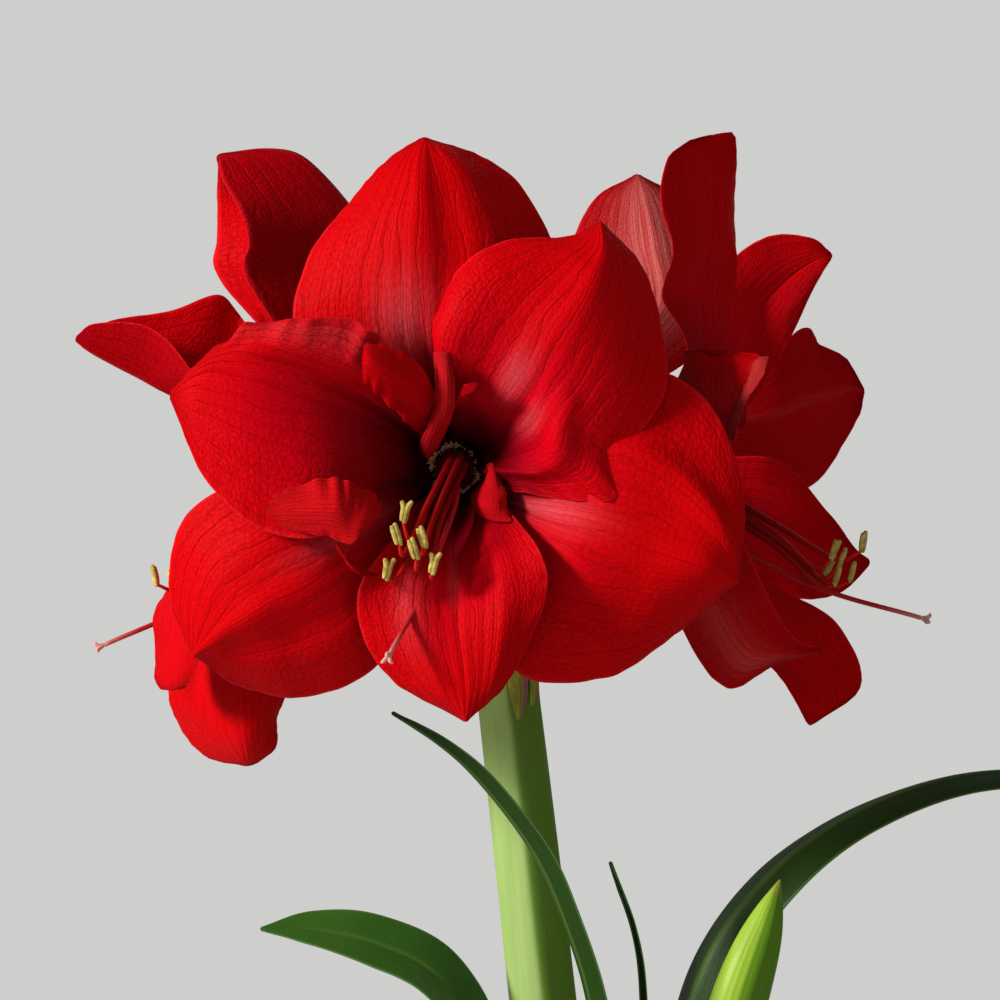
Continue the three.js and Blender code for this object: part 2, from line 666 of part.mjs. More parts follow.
      bottom: { azimuth: 165, grown: { length: 0.82, open: 1, fold: 0.18, width: 0.9 }, shape: { ruffle: 1.4, phase: 3 } },
      right: {
        azimuth: 285,
        placed: [
          [66, 74, 2, 68, 72, 16, 64, 76, 32],
          [104, 82, -4, 103, 88, 21, 98, 88, 46],
          [129, 84, -2, 128, 88, 27, 125, 86, 50],
          [146, 82, 14, 145, 84, 30, 141, 82, 43],
          [151.4, 79, 28.4, 151.6, 79, 30, 151.2, 79, 31.6],
        ],
        shape: { keel: 1.6, pillow: 1.5, ruffle: 1, phase: 2 },
      },
    },
    anthers: [[66, 122, -4], [60, 122, -10], [62, 122, -18], [81, 114, -18], [86, 110, -11], [78, 118, -2]],
    stigma: [86, 136, -26],
  },
};

function petal(name, frame, spec, whorl) {
  const ring = whorl === 'inner' ? INNER_RING : OUTER_RING;
  const reach = whorl === 'inner' ? 58 : 48;
  const body = spec.facing
    ? facingStations(spec.facing, ring, reach)
    : spec.placed
      ? placedStations(spec.placed)
      : grownStations(frame, spec.azimuth, spec.grown);
  const stations = [...petalRoot(frame, spec.azimuth, ring, ROOT_FLARE[whorl]), ...body];
  return named(name, blade(stations, PETAL_THICKNESS, PETAL_GRID, spec.shape), FINISH.petal);
}

// The stalk of one bloom: pedicel, ovary and the short tube whose flat end carries petals and stamens.
// It rises from its foot and turns into the bloom's axis on one even bend.
function pedicel(name, frame, foot) {
  const { throat, out } = frame;
  const rise = point(foot).add(new THREE.Vector3(0, 0, PEDICEL.rise));
  const run = throat.clone().addScaledVector(out, -PEDICEL.run);
  const path = new THREE.CubicBezierCurve3(point(foot), rise, run, throat).getSpacedPoints(8);
  const girth = [4.2, 4.2, 4.4, 6.2, 7, 6.2, 7, 9, OUTER_RING + 1.2];
  const radius = (t) => {
    const place = t * (girth.length - 1);
    const k = Math.min(Math.floor(place), girth.length - 2);
    return THREE.MathUtils.lerp(girth[k], girth[k + 1], place - k);
  };
  const geometry = stem(path.map((p) => p.toArray()), radius, {
    sides: 10, steps: 10, side: frame.right.toArray(), endAxes: [[0, 0, 1], out.toArray()],
  });
  return named(name, geometry, FINISH.pedicel);
}

// Fringe ring, six filaments and their anthers, grown together.
function stamens(name, frame, anthers) {
  const ringRadius = 4.5;
  const pieces = [ringSolid(frame, [[0.3, 5.6], [2.4, 5.9], [2.4, 3.6], [0.3, 3.4]], 10)];
  anthers.forEach((place, k) => {
    const tip = point(place);
    const angle = ((k + 0.5) / anthers.length) * Math.PI * 2;
    const root = frame.at(0.9, ringRadius, angle);
    const mouth = frame.at(24, 5.7, angle);
    const middle = mouth.clone().lerp(tip, 0.55).addScaledVector(frame.up, -3);
    const path = [root, mouth, middle, tip].map((p) => p.toArray());
    pieces.push(stem(path, (t) => 1.1 - 0.25 * t, { sides: 4, steps: 5, side: [0.2, 0.3, 1] }));
    const anther = new THREE.SphereGeometry(1, 6, 4).scale(1.7, 1.7, 4);
    anther.rotateX((k % 3) * 0.5 - 0.5).rotateY((k % 2) * 0.8 - 0.4);
    pieces.push(anther.translate(tip.x, tip.y, tip.z));
  });
  return named(name, join(...pieces), FINISH.stamen);
}

// A ring about a bloom's axis, its section given as [along, radius] corners.
function ringSolid(frame, section, sides) {
  const positions = [];
  const indices = [];
  for (let i = 0; i < sides; i++) {
    for (const [along, radius] of section) {
      const p = frame.at(along, radius, (i / sides) * Math.PI * 2);
      positions.push(p.x, p.y, p.z);
    }
  }
  const n = section.length;
  for (let i = 0; i < sides; i++) {
    for (let k = 0; k < n; k++) {
      const [a, b] = [i * n + k, i * n + ((k + 1) % n)];
      const [c, d] = [((i + 1) % sides) * n + ((k + 1) % n), ((i + 1) % sides) * n + k];
      indices.push(a, b, c, a, c, d);
    }
  }
  return solidGeometry(positions, indices);
}

function style(name, frame, stigma) {
  const tip = point(stigma);
  const bend = frame.at(30, 13.5, Math.PI);
  const path = [frame.at(GAP, 0, 0), frame.at(12, 2.2, Math.PI), bend, bend.clone().lerp(tip, 0.55), tip];
  path[3].addScaledVector(frame.up, -4);
  const rod = stem(path.map((p) => p.toArray()), (t) => 1.2 - 0.3 * t, { sides: 5, steps: 8, side: [0.2, 0.3, 1] });
  const heading = tip.clone().sub(path[3]).normalize();
  const lobes = [0, 1, 2].map((k) => {
    const angle = (k / 3) * Math.PI * 2;
    const place = tip.clone()
      .addScaledVector(heading, 1)
      .addScaledVector(frame.up, Math.cos(angle) * 1.2)
      .addScaledVector(frame.right, Math.sin(angle) * 1.2);
    return new THREE.SphereGeometry(1.6, 5, 4).translate(place.x, place.y, place.z);
  });
  return named(name, join(rod, ...lobes), FINISH.style);
}

// ---------------------------------------------------------------- assembly

const plant = new THREE.Group();
plant.add(pot(), soil(), bulb(), mainStalk(), budStalk(), bud());
for (const name of Object.keys(SPATHES)) plant.add(spathe(name));
for (const name of Object.keys(LEAVES)) plant.add(leaf(name));

const head = new THREE.Group();
head.position.set(...HEAD_ORIGIN);
const stalkTop = point(STALK_TOP).sub(point(HEAD_ORIGIN));
const FEET = { front: [0.5, -6.8], left: [-6.6, 0.6], right: [6.8, -0.6], back: [0, 6.8] };
for (const [name, { bloom, outer, inner, anthers, stigma }] of Object.entries(PETALS)) {
  const frame = bloomFrame(bloom);
  const [dx, dy] = FEET[name];
  const foot = [stalkTop.x + dx, stalkTop.y + dy, stalkTop.z + GAP];
  head.add(pedicel(`${name}_pedicel`, frame, foot));
  for (const [place, spec] of Object.entries(outer)) head.add(petal(`${name}_petal_${place}`, frame, spec, 'outer'));
  for (const [place, spec] of Object.entries(inner)) head.add(petal(`${name}_petal_${place}`, frame, spec, 'inner'));
  head.add(stamens(`${name}_stamens`, frame, anthers), style(`${name}_style`, frame, stigma));
}
plant.add(head);

export default plant;
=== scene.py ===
"""An amaryllis in a pot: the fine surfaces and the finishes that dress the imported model.

Lengths in this file are millimetres unless a name says metres, and turn into metres when a mesh is
made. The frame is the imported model's: +Z up, the origin under the pot, the front bloom facing -Y.

A petal or a leaf is a blade: splines run through stations from its root to its tip, each with a left
edge, a midrib and a right edge, seen from its inner face with the tip up. t runs from 0 at the root
to 1 at the tip, and v from -1 at the left edge to 1 at the right edge.
"""

import logging
import math
from collections.abc import Callable, Sequence
from dataclasses import dataclass, field
from enum import Enum

import bpy
import numpy as np
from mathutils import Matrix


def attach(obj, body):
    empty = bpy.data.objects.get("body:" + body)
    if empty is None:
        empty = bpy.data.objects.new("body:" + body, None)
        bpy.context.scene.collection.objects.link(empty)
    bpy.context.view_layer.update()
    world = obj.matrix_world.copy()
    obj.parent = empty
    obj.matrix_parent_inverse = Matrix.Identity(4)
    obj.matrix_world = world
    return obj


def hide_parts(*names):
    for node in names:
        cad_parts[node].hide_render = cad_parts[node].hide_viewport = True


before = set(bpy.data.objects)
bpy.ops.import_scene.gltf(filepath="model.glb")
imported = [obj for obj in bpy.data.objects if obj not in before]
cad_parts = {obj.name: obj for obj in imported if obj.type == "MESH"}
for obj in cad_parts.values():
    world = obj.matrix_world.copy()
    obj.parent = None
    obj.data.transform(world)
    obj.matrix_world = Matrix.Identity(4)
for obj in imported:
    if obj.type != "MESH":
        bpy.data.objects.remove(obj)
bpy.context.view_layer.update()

LOG = logging.getLogger("amaryllis")
METRES_PER_MM = 0.001
BODY = "root"

HEAD_ORIGIN = np.array((-52.0, 0.0, 531.0))  # throat of the front bloom, in the plane of the stalk
STALK_TOP = np.array((-35.0, 0.0, 466.0))
UPRIGHT = (0, 0, 1)
FINE_STEPS = 400  # points on a curve whose length is measured

Row = Sequence[float]
Field = np.ndarray
Number = Field | float
Shade = Callable[..., Sequence[Number]]


# ---------------------------------------------------------------- curves, noise and skins


def unit(vectors: Field) -> Field:
    """Returns vectors, whose last axis is x, y, z, at length 1."""
    length = np.linalg.norm(vectors, axis=-1, keepdims=True)
    return vectors / np.maximum(length, 1e-9)


def bell(offset: Number, width: float) -> Number:
    """Returns a bell curve: 1 where the offset is 0, and 1 / e at the width."""
    return np.exp(-((offset / width) ** 2))


def ramp(value: Number, start: float, end: float) -> Number:
    """Returns 0 up to start, 1 from end, and an even rise between."""
    return np.clip((value - start) / (end - start), 0, 1)


def running_length(points: Field) -> Field:
    """Returns the distance from the first point to each point, along the line through them."""
    return np.concatenate([[0], np.cumsum(np.linalg.norm(np.diff(points, axis=0), axis=1))])


def round_angles(sides: int) -> Field:
    """Returns even angles once round."""
    return np.linspace(0, 2 * math.pi, sides, endpoint=False)


def angle_from(start: float, angle: Field) -> Field:
    """Returns the angles as seen from a start, between minus and plus pi."""
    return np.mod(angle - start + math.pi, 2 * math.pi) - math.pi


def rails_of(rows: Sequence[Row]) -> Field:
    """Returns rows of nine numbers as stations of three points."""
    return np.array(rows, float).reshape(-1, 3, 3)


def tints(numbers: Sequence[Number], places: Field) -> Field:
    """Returns a tint for each place, from numbers that are arrays or one value for all."""
    return np.stack(np.broadcast_arrays(*numbers, places * 1.0)[:-1], axis=-1)


def spline(points: Field, t: Field) -> Field:
    """Runs a smooth curve through evenly spaced knots.

    Between two knots the curve is a cubic whose slope at each knot is half the step between the
    knot's two neighbours. Past each end the next knot is mirrored.

    Args:
        points: Knots along the first axis, of any further shape.
        t: Places on the curve, from 0 at the first knot to 1 at the last.

    Returns:
        Points of the curve, with t along the first axis.
    """
    points = np.asarray(points, float)
    spans = len(points) - 1
    whole = np.clip(np.floor(np.asarray(t) * spans).astype(int), 0, spans - 1)
    part = (np.asarray(t) * spans - whole).reshape((-1,) + (1,) * (points.ndim - 1))
    padded = np.concatenate([[2 * points[0] - points[1]], points, [2 * points[-1] - points[-2]]])
    before, start, end, after = (padded[whole + k] for k in range(4))
    leave, arrive = (end - before) / 2, (after - start) / 2
    return (
        start * (2 * part**3 - 3 * part**2 + 1)
        + end * (3 * part**2 - 2 * part**3)
        + leave * (part**3 - 2 * part**2 + part)
        + arrive * (part**3 - part**2)
    )


def profile(values: Row, t: Field) -> Field:
    """Returns a smooth curve of single values at places t of any shape, as in spline."""
    return spline(np.asarray(values, float), np.ravel(t)).reshape(np.shape(t))


def unevenness(x: Field, y: Field, seed: int) -> Field:
    """Makes smooth seeded noise.

    Random values from -1 to 1 stand on a square lattice one unit apart, and a smooth step blends
    the four values round each place. The lattice repeats every 64 units.

    Args:
        x: First coordinates, in lattice units.
        y: Second coordinates, in lattice units.
        seed: Seed of the random values.

    Returns:
        Noise from -1 to 1, shaped like x and y together.
    """
    size = 64
    lattice = np.random.default_rng(seed).uniform(-1, 1, (size, size))
    x, y = np.broadcast_arrays(np.asarray(x, float), np.asarray(y, float))
    column, row = np.floor(x).astype(int), np.floor(y).astype(int)
    across, up = x - column, y - row
    across, up = across**2 * (3 - 2 * across), up**2 * (3 - 2 * up)

    def corner(dx: int, dy: int) -> Field:
        """Returns the lattice value at a corner of each place's cell."""
        return lattice[(column + dx) % size, (row + dy) % size]

    low = corner(0, 0) * (1 - across) + corner(1, 0) * across
    high = corner(0, 1) * (1 - across) + corner(1, 1) * across
    return low * (1 - up) + high * up


def layered_unevenness(x: Field, y: Field, seed: int, layers: int = 3) -> Field:
    """Adds layers of noise, each twice as fine and half as strong as the last.

    Args:
        x: First coordinates, in lattice units of the coarsest layer.
        y: Second coordinates.
        seed: Seed of the first layer.
        layers: Number of layers.

    Returns:
        Noise from about -1 to 1.
    """
    total = np.zeros(np.broadcast(x, y).shape)
    for layer in range(layers):
        total = total + unevenness(x * 2**layer, y * 2**layer, seed + layer) / 2**layer
    return total / 1.5


@dataclass
class Skin:
    """A closed skin: its points, its faces and what its material reads at each point.

    Args:
        points: Corners, n by 3, in millimetres.
        quads: Four-sided faces, as indices.
        triangles: Three-sided faces, as indices.
        uv: Place on the surface, n by 2: across, then along.
        tint: Four numbers a point, whose meaning the piece's material gives.
    """

    points: Field
    quads: Field
    triangles: Field
    uv: Field
    tint: Field

    @staticmethod
    def joined(skins: Sequence["Skin"]) -> "Skin":
        """Returns one skin that holds several, unwelded."""
        starts = np.cumsum([0] + [len(skin.points) for skin in skins[:-1]])
        return Skin(
            np.concatenate([skin.points for skin in skins]),
            np.concatenate([skin.quads + start for skin, start in zip(skins, starts)]),
            np.concatenate([skin.triangles + start for skin, start in zip(skins, starts)]),
            np.concatenate([skin.uv for skin in skins]),
            np.concatenate([skin.tint for skin in skins]),
        )

    def piece(self, name: str, material: bpy.types.Material, slot: str, nodes: Sequence[str]) -> None:
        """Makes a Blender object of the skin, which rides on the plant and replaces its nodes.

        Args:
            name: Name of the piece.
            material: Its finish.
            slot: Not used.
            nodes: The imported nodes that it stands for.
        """
        mesh = bpy.data.meshes.new(name)
        corners = np.concatenate([self.quads.ravel(), self.triangles.ravel()]).astype(np.int32)
        quad_starts = np.arange(len(self.quads)) * 4
        triangle_starts = len(self.quads) * 4 + np.arange(len(self.triangles)) * 3
        mesh.vertices.add(len(self.points))
        mesh.vertices.foreach_set("co", (self.points * METRES_PER_MM).astype(np.float32).ravel())
        mesh.loops.add(len(corners))
        mesh.loops.foreach_set("vertex_index", corners)
        mesh.polygons.add(len(self.quads) + len(self.triangles))
        starts = np.concatenate([quad_starts, triangle_starts]).astype(np.int32)
        mesh.polygons.foreach_set("loop_start", starts)
        mesh.update(calc_edges=True)
        mesh.shade_smooth()
        layer = mesh.uv_layers.new(name="surface")
        layer.uv.foreach_set("vector", self.uv[corners].astype(np.float32).ravel())
        tint = mesh.color_attributes.new(name="tint", type="FLOAT_COLOR", domain="POINT")
        tint.data.foreach_set("color", self.tint.astype(np.float32).ravel())
        mesh.materials.append(material)
        made = bpy.data.objects.new(name, mesh)
        bpy.context.scene.collection.objects.link(made)
        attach(made, BODY)
        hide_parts(*nodes)
        LOG.info("%s: %d faces", name, len(mesh.polygons))


def ringed_skin(rings: Field, tint: Field | None = None) -> Skin:
    """Joins rings of points into a closed skin with a pole at each end.

    Ring k joins ring k + 1, with the points of a ring running anticlockwise for someone who looks
    back along the rings. Each end is closed by a fan to the middle of its ring.

    Args:
        rings: Points, rings by points of a ring by 3.
        tint: What the material reads, rings by 4 or rings by points by 4.

    Returns:
        The closed skin, whose uv runs once round and once along.
    """
    count, sides = rings.shape[:2]
    ring, side = np.meshgrid(np.arange(count - 1), np.arange(sides), indexing="ij")
    after = (side + 1) % sides
    quads = np.stack([ring * sides + side, ring * sides + after, (ring + 1) * sides + after,
                      (ring + 1) * sides + side], axis=-1).reshape(-1, 4)
    first, last = count * sides, count * sides + 1
    j = np.arange(sides)
    k = (j + 1) % sides
    top = (count - 1) * sides
    triangles = np.concatenate([
        np.stack([np.full(sides, first), k, j], axis=-1),
        np.stack([np.full(sides, last), top + j, top + k], axis=-1),
    ])
    round_places = np.abs(2 * np.arange(sides) / sides - 1)
    uv = np.stack(np.meshgrid(np.linspace(0, 1, count), round_places, indexing="ij")[::-1], axis=-1)
    if tint is None:
        tint = np.zeros((count, 4))
    if tint.ndim == 2:
        tint = np.repeat(tint[:, None, :], sides, axis=1)
    return Skin(
        np.concatenate([rings.reshape(-1, 3), rings[[0, -1]].mean(axis=1)]),
        quads,
        triangles,
        np.concatenate([uv.reshape(-1, 2), [[0.5, 0.0], [0.5, 1.0]]]),
        np.concatenate([tint.reshape(-1, 4), tint[[0, -1]].mean(axis=1)]),
    )


def tube(path: Field, radius: Callable[[Field], Field], sides: int, steps: int, squash: float = 1.0,
         hint: Row = (0, 1, 0), relief: Callable[[Field, Field], Field] | None = None,
         ends: tuple[Row | None, Row | None] = (None, None), tint: Shade | None = None) -> Skin:
    """Carries a round section along a smooth path.

    A point is the path's point at t, plus cos(a) times the radius along the section's first axis,
    plus sin(a) times the radius and the squash along its second axis, which is the hint made
    square to the path. The relief is added to the radius.

    Args:
        path: Knots of the path.
        radius: Radius at each t.
        sides: Points round the section.
        steps: Steps along the path.
        squash: Second radius over the first.
        hint: Direction near the section's second axis.
        relief: Extra radius at each t and angle.
        ends: Directions of the path at its ends, where they are fixed.
        tint: The tint's red, green and blue at each t.

    Returns:
        The closed skin.
    """
    t = np.linspace(0, 1, steps + 1)
    centre = spline(path, t)
    heading = unit(np.gradient(centre, axis=0))
    for place, end in zip((0, -1), ends):
        if end is not None:
            heading[place] = unit(np.asarray(end, float))
    near = np.asarray(hint, float)
    second = unit(near - heading * (heading @ near)[:, None])
    first = np.cross(second, heading)
    angle = round_angles(sides)
    reach = np.repeat(radius(t)[:, None], sides, axis=1)
    if relief is not None:
        reach = reach + relief(t[:, None], angle[None, :])
    rings = (
        centre[:, None, :]
        + (np.cos(angle) * reach)[..., None] * first[:, None, :]
        + (np.sin(angle) * reach * squash)[..., None] * second[:, None, :]
    )
    return ringed_skin(rings, None if tint is None else tints((*tint(t), 1.0), t))


def turned(outline: Field, sides: int, relief: Callable[[Field], Field] | None = None) -> Skin:
    """Turns an outline of radius and height about the Z axis.

    Args:
        outline: Radius and height of each ring, from the foot's middle outwards.
        sides: Points round.
        relief: Extra radius of every ring at each angle.

    Returns:
        The closed skin.
    """
    angle = round_angles(sides)
    radius, height = (np.repeat(outline[:, k : k + 1], sides, axis=1) for k in (0, 1))
    if relief is not None:
        radius = radius + relief(angle[None, :])
    return ringed_skin(np.stack([radius * np.cos(angle), radius * np.sin(angle), height], axis=-1))


def rounded_outline(corners: Sequence[Row], step: float, smooth: int = 3) -> Field:
    """Resamples an outline evenly and softens its corners.

    Args:
        corners: Radius and height of each corner.
        step: Distance between the new points.
        smooth: Number of times each inner point is averaged with its neighbours.

    Returns:
        The new outline's points.
    """
    corners = np.asarray(corners, float)
    run = running_length(corners)
    places = np.linspace(0, run[-1], max(2, int(run[-1] / step)) + 1)
    points = np.stack([np.interp(places, run, corners[:, k]) for k in (0, 1)], axis=-1)
    for _ in range(smooth):
        points[1:-1] = (points[:-2] + 2 * points[1:-1] + points[2:]) / 4
    return points


# ---------------------------------------------------------------- blades


class Side(Enum):
    """An edge of a blade, seen from its inner face with the tip up."""

    LEFT = -1
    RIGHT = 1


@dataclass(frozen=True)
class Curl:
    """A stretch of a blade's margin that rolls over.

    The strip outside the fold line bends on an arc about it. The turn grows from nothing at start
    to its full angle at peak, and back to nothing at end.

    Args:
        side: Which margin rolls.
        start: Where the roll starts, as t.
        peak: Where it is full.
        end: Where it ends.
        fold: Where the fold line runs, from 0 at the midrib to 1 at the margin.
        turn: Full angle in degrees, towards the inner face where it is positive.
    """

    side: Side
    start: float
    peak: float
    end: float
    fold: float
    turn: float


@dataclass(frozen=True)
class Ridge:
    """A fold that runs over a blade, raised on the inner face or sunk where its height is negative.

    Args:
        start: t and v of its first end.
        end: t and v of its other end.
        height: Its height.
        width: Its half width, as a share of the half blade.
    """

    start: tuple[float, float]
    end: tuple[float, float]
    height: float
    width: float

    def lift(self, t: Field, v: Field) -> Field:
        """Returns its height: a bell curve across, times a half sine along."""
        place = ramp(t, self.start[0], self.end[0])
        middle = self.start[1] + (self.end[1] - self.start[1]) * place
        return self.height * bell(v - middle, self.width) * np.sin(math.pi * place) ** 0.8


@dataclass(frozen=True)
class Ruffle:
    """A stretch of margin thrown into pleats.

    Args:
        side: Which margin.
        start: Where it starts, as t.
        end: Where it ends.
        fold: Where the pleats begin, from 0 at the midrib to 1 at the margin.
        height: Height of the pleats at the margin.
        pleats: Their number.
    """

    side: Side
    start: float
    end: float
    fold: float
    height: float
    pleats: float

    def lift(self, t: Field, v: Field) -> Field:
        """Returns its height: a sine along the margin, with uneven spacing, that grows outwards."""
        place = ramp(t, self.start, self.end)
        outer = ramp(self.side.value * v, self.fold, 1)
        uneven = 0.35 * np.sin(2 * math.pi * 1.7 * place + 1) + 0.2 * np.sin(2 * math.pi * 3.1 * place)
        wave = np.sin(2 * math.pi * (self.pleats * place + uneven))
        return self.height * outer**1.4 * wave * np.sin(math.pi * place) ** 0.6


@dataclass(frozen=True)
class Relief:
    """The low relief of a blade.

    Args:
        ribs: Lengthwise ribs on each half.
        rib_height: Height of a rib.
        crinkle: Height of the cross puckers, which are strongest in the outer half.
        frill: Height of the small waves along the margin.
        frills: Number of these waves.
        groove: Depth of the groove that runs down the inner face's midrib.
        groove_width: Half width of that groove, as a share of the half blade.
        ragged: How far the margin wanders in and out, as a share of the half blade.
    """

    ribs: float = 7
    rib_height: float = 0.08
    crinkle: float = 0.2
    frill: float = 0.15
    frills: float = 17
    groove: float = 0.2
    groove_width: float = 0.05
    ragged: float = 0.008


@dataclass(frozen=True)
class Form:
    """The large form of a blade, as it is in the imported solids.

    Args:
        keel: Power of the cross-section, from 1, creased, to 2, round.
        pillow: Height to which each half swells.
        ruffle: Height of the slow waves of the margin.
        phase: Start of these waves, in radians.
    """

    keel: float = 1.5
    pillow: float = 0.0
    ruffle: float = 0.0
    phase: float = 0.0

    def lift(self, t: Field, v: Field) -> Field:
        """Returns the height over the section curve, which fades out at both ends.

        The pillow is a half sine over each half blade. The ruffle is a sine along the blade, of 2.5
        waves, that grows with the cube of the distance from the midrib.
        """
        window = np.sin(math.pi * t) ** 2
        wave = np.sin(5 * math.pi * t + self.phase + np.where(v > 0, 1.3, 0)) * np.abs(v) ** 3
        return (self.pillow * np.sin(math.pi * np.clip(np.abs(v), 0, 1)) + self.ruffle * wave) * window


def inner_normals(points: Field) -> Field:
    """Returns the normals of a grid's inner face: the way across times the way along."""
    return unit(np.cross(np.gradient(points, axis=1), np.gradient(points, axis=0)))


def shell(points: Field, t: Field, v: Field, thickness: float, margin: float, shade: Shade) -> Skin:
    """Gives a grid two faces and a rounded rim.

    Args:
        points: The middle surface, rows by columns by 3.
        t: Place along the blade at each point.
        v: Place across it.
        thickness: Thickness at the midrib.
        margin: Thickness at the margins, as a share of that.
        shade: Gives three numbers from points, t and v, which become the first three of the tint.
            The fourth is 1 on the inner face, 0 on the outer one and a half on the rim.

    Returns:
        The closed skin.
    """
    offset = (thickness * (1 - (1 - margin) * np.abs(v) ** 3) / 2)[..., None]
    rows, columns = t.shape
    back = rows * columns
    index = np.arange(back).reshape(rows, columns)
    face = np.stack([index[:-1, :-1], index[:-1, 1:], index[1:, 1:], index[1:, :-1]], axis=-1).reshape(-1, 4)
    edge = np.concatenate([index[0, :-1], index[:-1, -1], index[-1, :0:-1], index[:0:-1, 0]])
    inward = np.concatenate([index[1, :-1], index[:-1, -2], index[-2, :0:-1], index[:0:-1, 1]])
    flat = points.reshape(-1, 3)
    rim = flat[edge] + unit(flat[edge] - flat[inward]) * offset.reshape(-1, 1)[edge] * 0.8
    here = 2 * back + np.arange(len(edge))
    there, after = np.roll(here, -1), np.roll(edge, -1)
    band = np.concatenate([
        np.stack([edge, here, there, after], axis=-1),
        np.stack([here, edge + back, after + back, there], axis=-1),
    ])
    uv = np.stack([(v + 1) / 2, t], axis=-1).reshape(-1, 2)
    values = tints(shade(points, t, v), t).reshape(-1, 3)
    layers = ((values, 1.0), (values, 0.0), (values[edge], 0.5))
    lift = inner_normals(points) * offset
    return Skin(
        np.concatenate([(points + lift).reshape(-1, 3), (points - lift).reshape(-1, 3), rim]),
        np.concatenate([face, face[:, ::-1] + back, band]),
        np.zeros((0, 3), int),
        np.concatenate([uv, uv, uv[edge]]),
        np.concatenate([np.column_stack([part, np.full(len(part), side)]) for part, side in layers]),
    )


@dataclass
class Blade:
    """A thin petal, leaf or bract.

    Args:
        stations: Left edge, midrib and right edge of each station, stations by 3 by 3.
        form: Its large form.
        relief: Its low relief.
        thickness: Thickness along the midrib.
        margin_thickness: Thickness at the margins, as a share of that.
        along: Steps from root to tip.
        across: Steps from margin to margin.
        seed: Seed of its unevenness.
        curls: Stretches of margin that roll over.
        folds: Ridges and ruffles.
    """

    stations: Field
    form: Form = Form()
    relief: Relief = Relief()
    thickness: float = 0.7
    margin_thickness: float = 0.5
    along: int = 72
    across: int = 56
    seed: int = 0
    curls: Sequence[Curl] = ()
    folds: Sequence[Ridge | Ruffle] = ()

    def places(self) -> tuple[Field, Field]:
        """Returns t, spaced evenly along the midrib, and v of the grid, rows by columns."""
        fine = np.linspace(0, 1, FINE_STEPS)
        run = running_length(spline(self.stations[:, 1], fine))
        t = np.interp(np.linspace(0, run[-1], self.along + 1), run, fine)
        return np.meshgrid(t, np.linspace(-1, 1, self.across + 1), indexing="ij")

    def section(self, t: Field, v: Field) -> Field:
        """Returns points of the smooth blade.

        A point is the midrib's, plus v times half the span between the edges, plus the keel power
        of the distance from the midrib times the way from the midrib to the middle of that span.
        """
        rails = spline(self.stations, t[:, 0])
        left, middle, right = rails[:, 0], rails[:, 1], rails[:, 2]
        half_span = ((right - left) / 2)[:, None, :]
        sag = ((right + left) / 2 - middle)[:, None, :]
        power = np.abs(v) ** self.form.keel
        return middle[:, None, :] + v[..., None] * half_span + power[..., None] * sag

    def low_relief(self, t: Field, v: Field) -> Field:
        """Returns the height of ribs, puckers, frills and groove over the blade.

        Ribs are a cosine of the distance from the midrib, and wander with the noise. Puckers are
        noise that is three times as long across the ribs as along them. Frills are a sine along
        the margin with a noisy phase, and grow with the sixth power of that distance. The groove
        is a bell curve about the midrib.
        """
        r = self.relief
        reach = np.abs(v)
        body = np.clip(np.minimum(t / 0.12, (1 - t) / 0.08), 0, 1)
        wander = 0.35 * unevenness(3 * t + 7, 2 * v + 5, self.seed)
        ribs = -r.rib_height * np.cos(2 * math.pi * r.ribs * (reach + 0.04 * wander)) * (1 - 0.4 * reach)
        puckers = layered_unevenness(26 * t, 9 * v + 20, self.seed + 1) * (0.25 + 0.75 * reach * np.sqrt(t))
        puckers = r.crinkle * puckers
        phase = 2 * math.pi * r.frills * t + 5 * unevenness(5 * t, np.sign(v) + 3, self.seed + 4)
        frills = r.frill * np.sin(phase) * reach**6
        groove = -r.groove * bell(v, r.groove_width)
        return (ribs + puckers + frills + groove) * body

    def rolled(self, points: Field, t: Field, v: Field) -> Field:
        """Bends the strips outside each curl's fold line on arcs.

        A point at distance d outside the fold line, on a strip of width w that turns by angle a,
        moves to the sine of a d / w times w / a across, and one minus its cosine times w / a up.
        """
        for curl in self.curls:
            rise = np.clip((t - curl.start) / max(curl.peak - curl.start, 1e-3), 0, 1)
            fall = np.clip((curl.end - t) / max(curl.end - curl.peak, 1e-3), 0, 1)
            amount = np.minimum(rise, fall)
            angle = math.radians(curl.turn) * amount**2 * (3 - 2 * amount)
            outside = curl.side.value * v > curl.fold
            column = int(round((curl.side.value * curl.fold + 1) / 2 * self.across))
            hinge = points[:, column : column + 1]
            edge = points[:, -1:] if curl.side is Side.RIGHT else points[:, :1]
            across = unit(edge - hinge)
            up = inner_normals(points)[:, column : column + 1]
            up = unit(up - across * (up * across).sum(axis=-1, keepdims=True))
            distance = ((points - hinge) * across).sum(axis=-1)
            height = ((points - hinge) * up).sum(axis=-1)
            along = points - hinge - across * distance[..., None] - up * height[..., None]
            width = np.maximum(np.linalg.norm(edge - hinge, axis=-1), 0.1)
            bend = np.where(np.abs(angle) < 1e-3, 1e-3, angle) / width
            swung = bend * distance
            new_across = np.sin(swung) / bend - height * np.sin(swung)
            new_up = (1 - np.cos(swung)) / bend + height * np.cos(swung)
            bent = hinge + along + across * new_across[..., None] + up * new_up[..., None]
            points = np.where((outside & (np.abs(angle) > 1e-3))[..., None], bent, points)
        return points

    def surface(self) -> tuple[Field, Field, Field]:
        """Returns the middle surface's points, t and v, each as a grid."""
        t, v = self.places()
        margin = 1 + self.relief.ragged * unevenness(14 * t, np.sign(v) + 9, self.seed + 6) * np.abs(v) ** 4
        points = self.section(t, v * margin)
        lift = self.form.lift(t, v) + self.low_relief(t, v) + sum(fold.lift(t, v) for fold in self.folds)
        points = points + inner_normals(points) * lift[..., None]
        return self.rolled(points, t, v), t, v

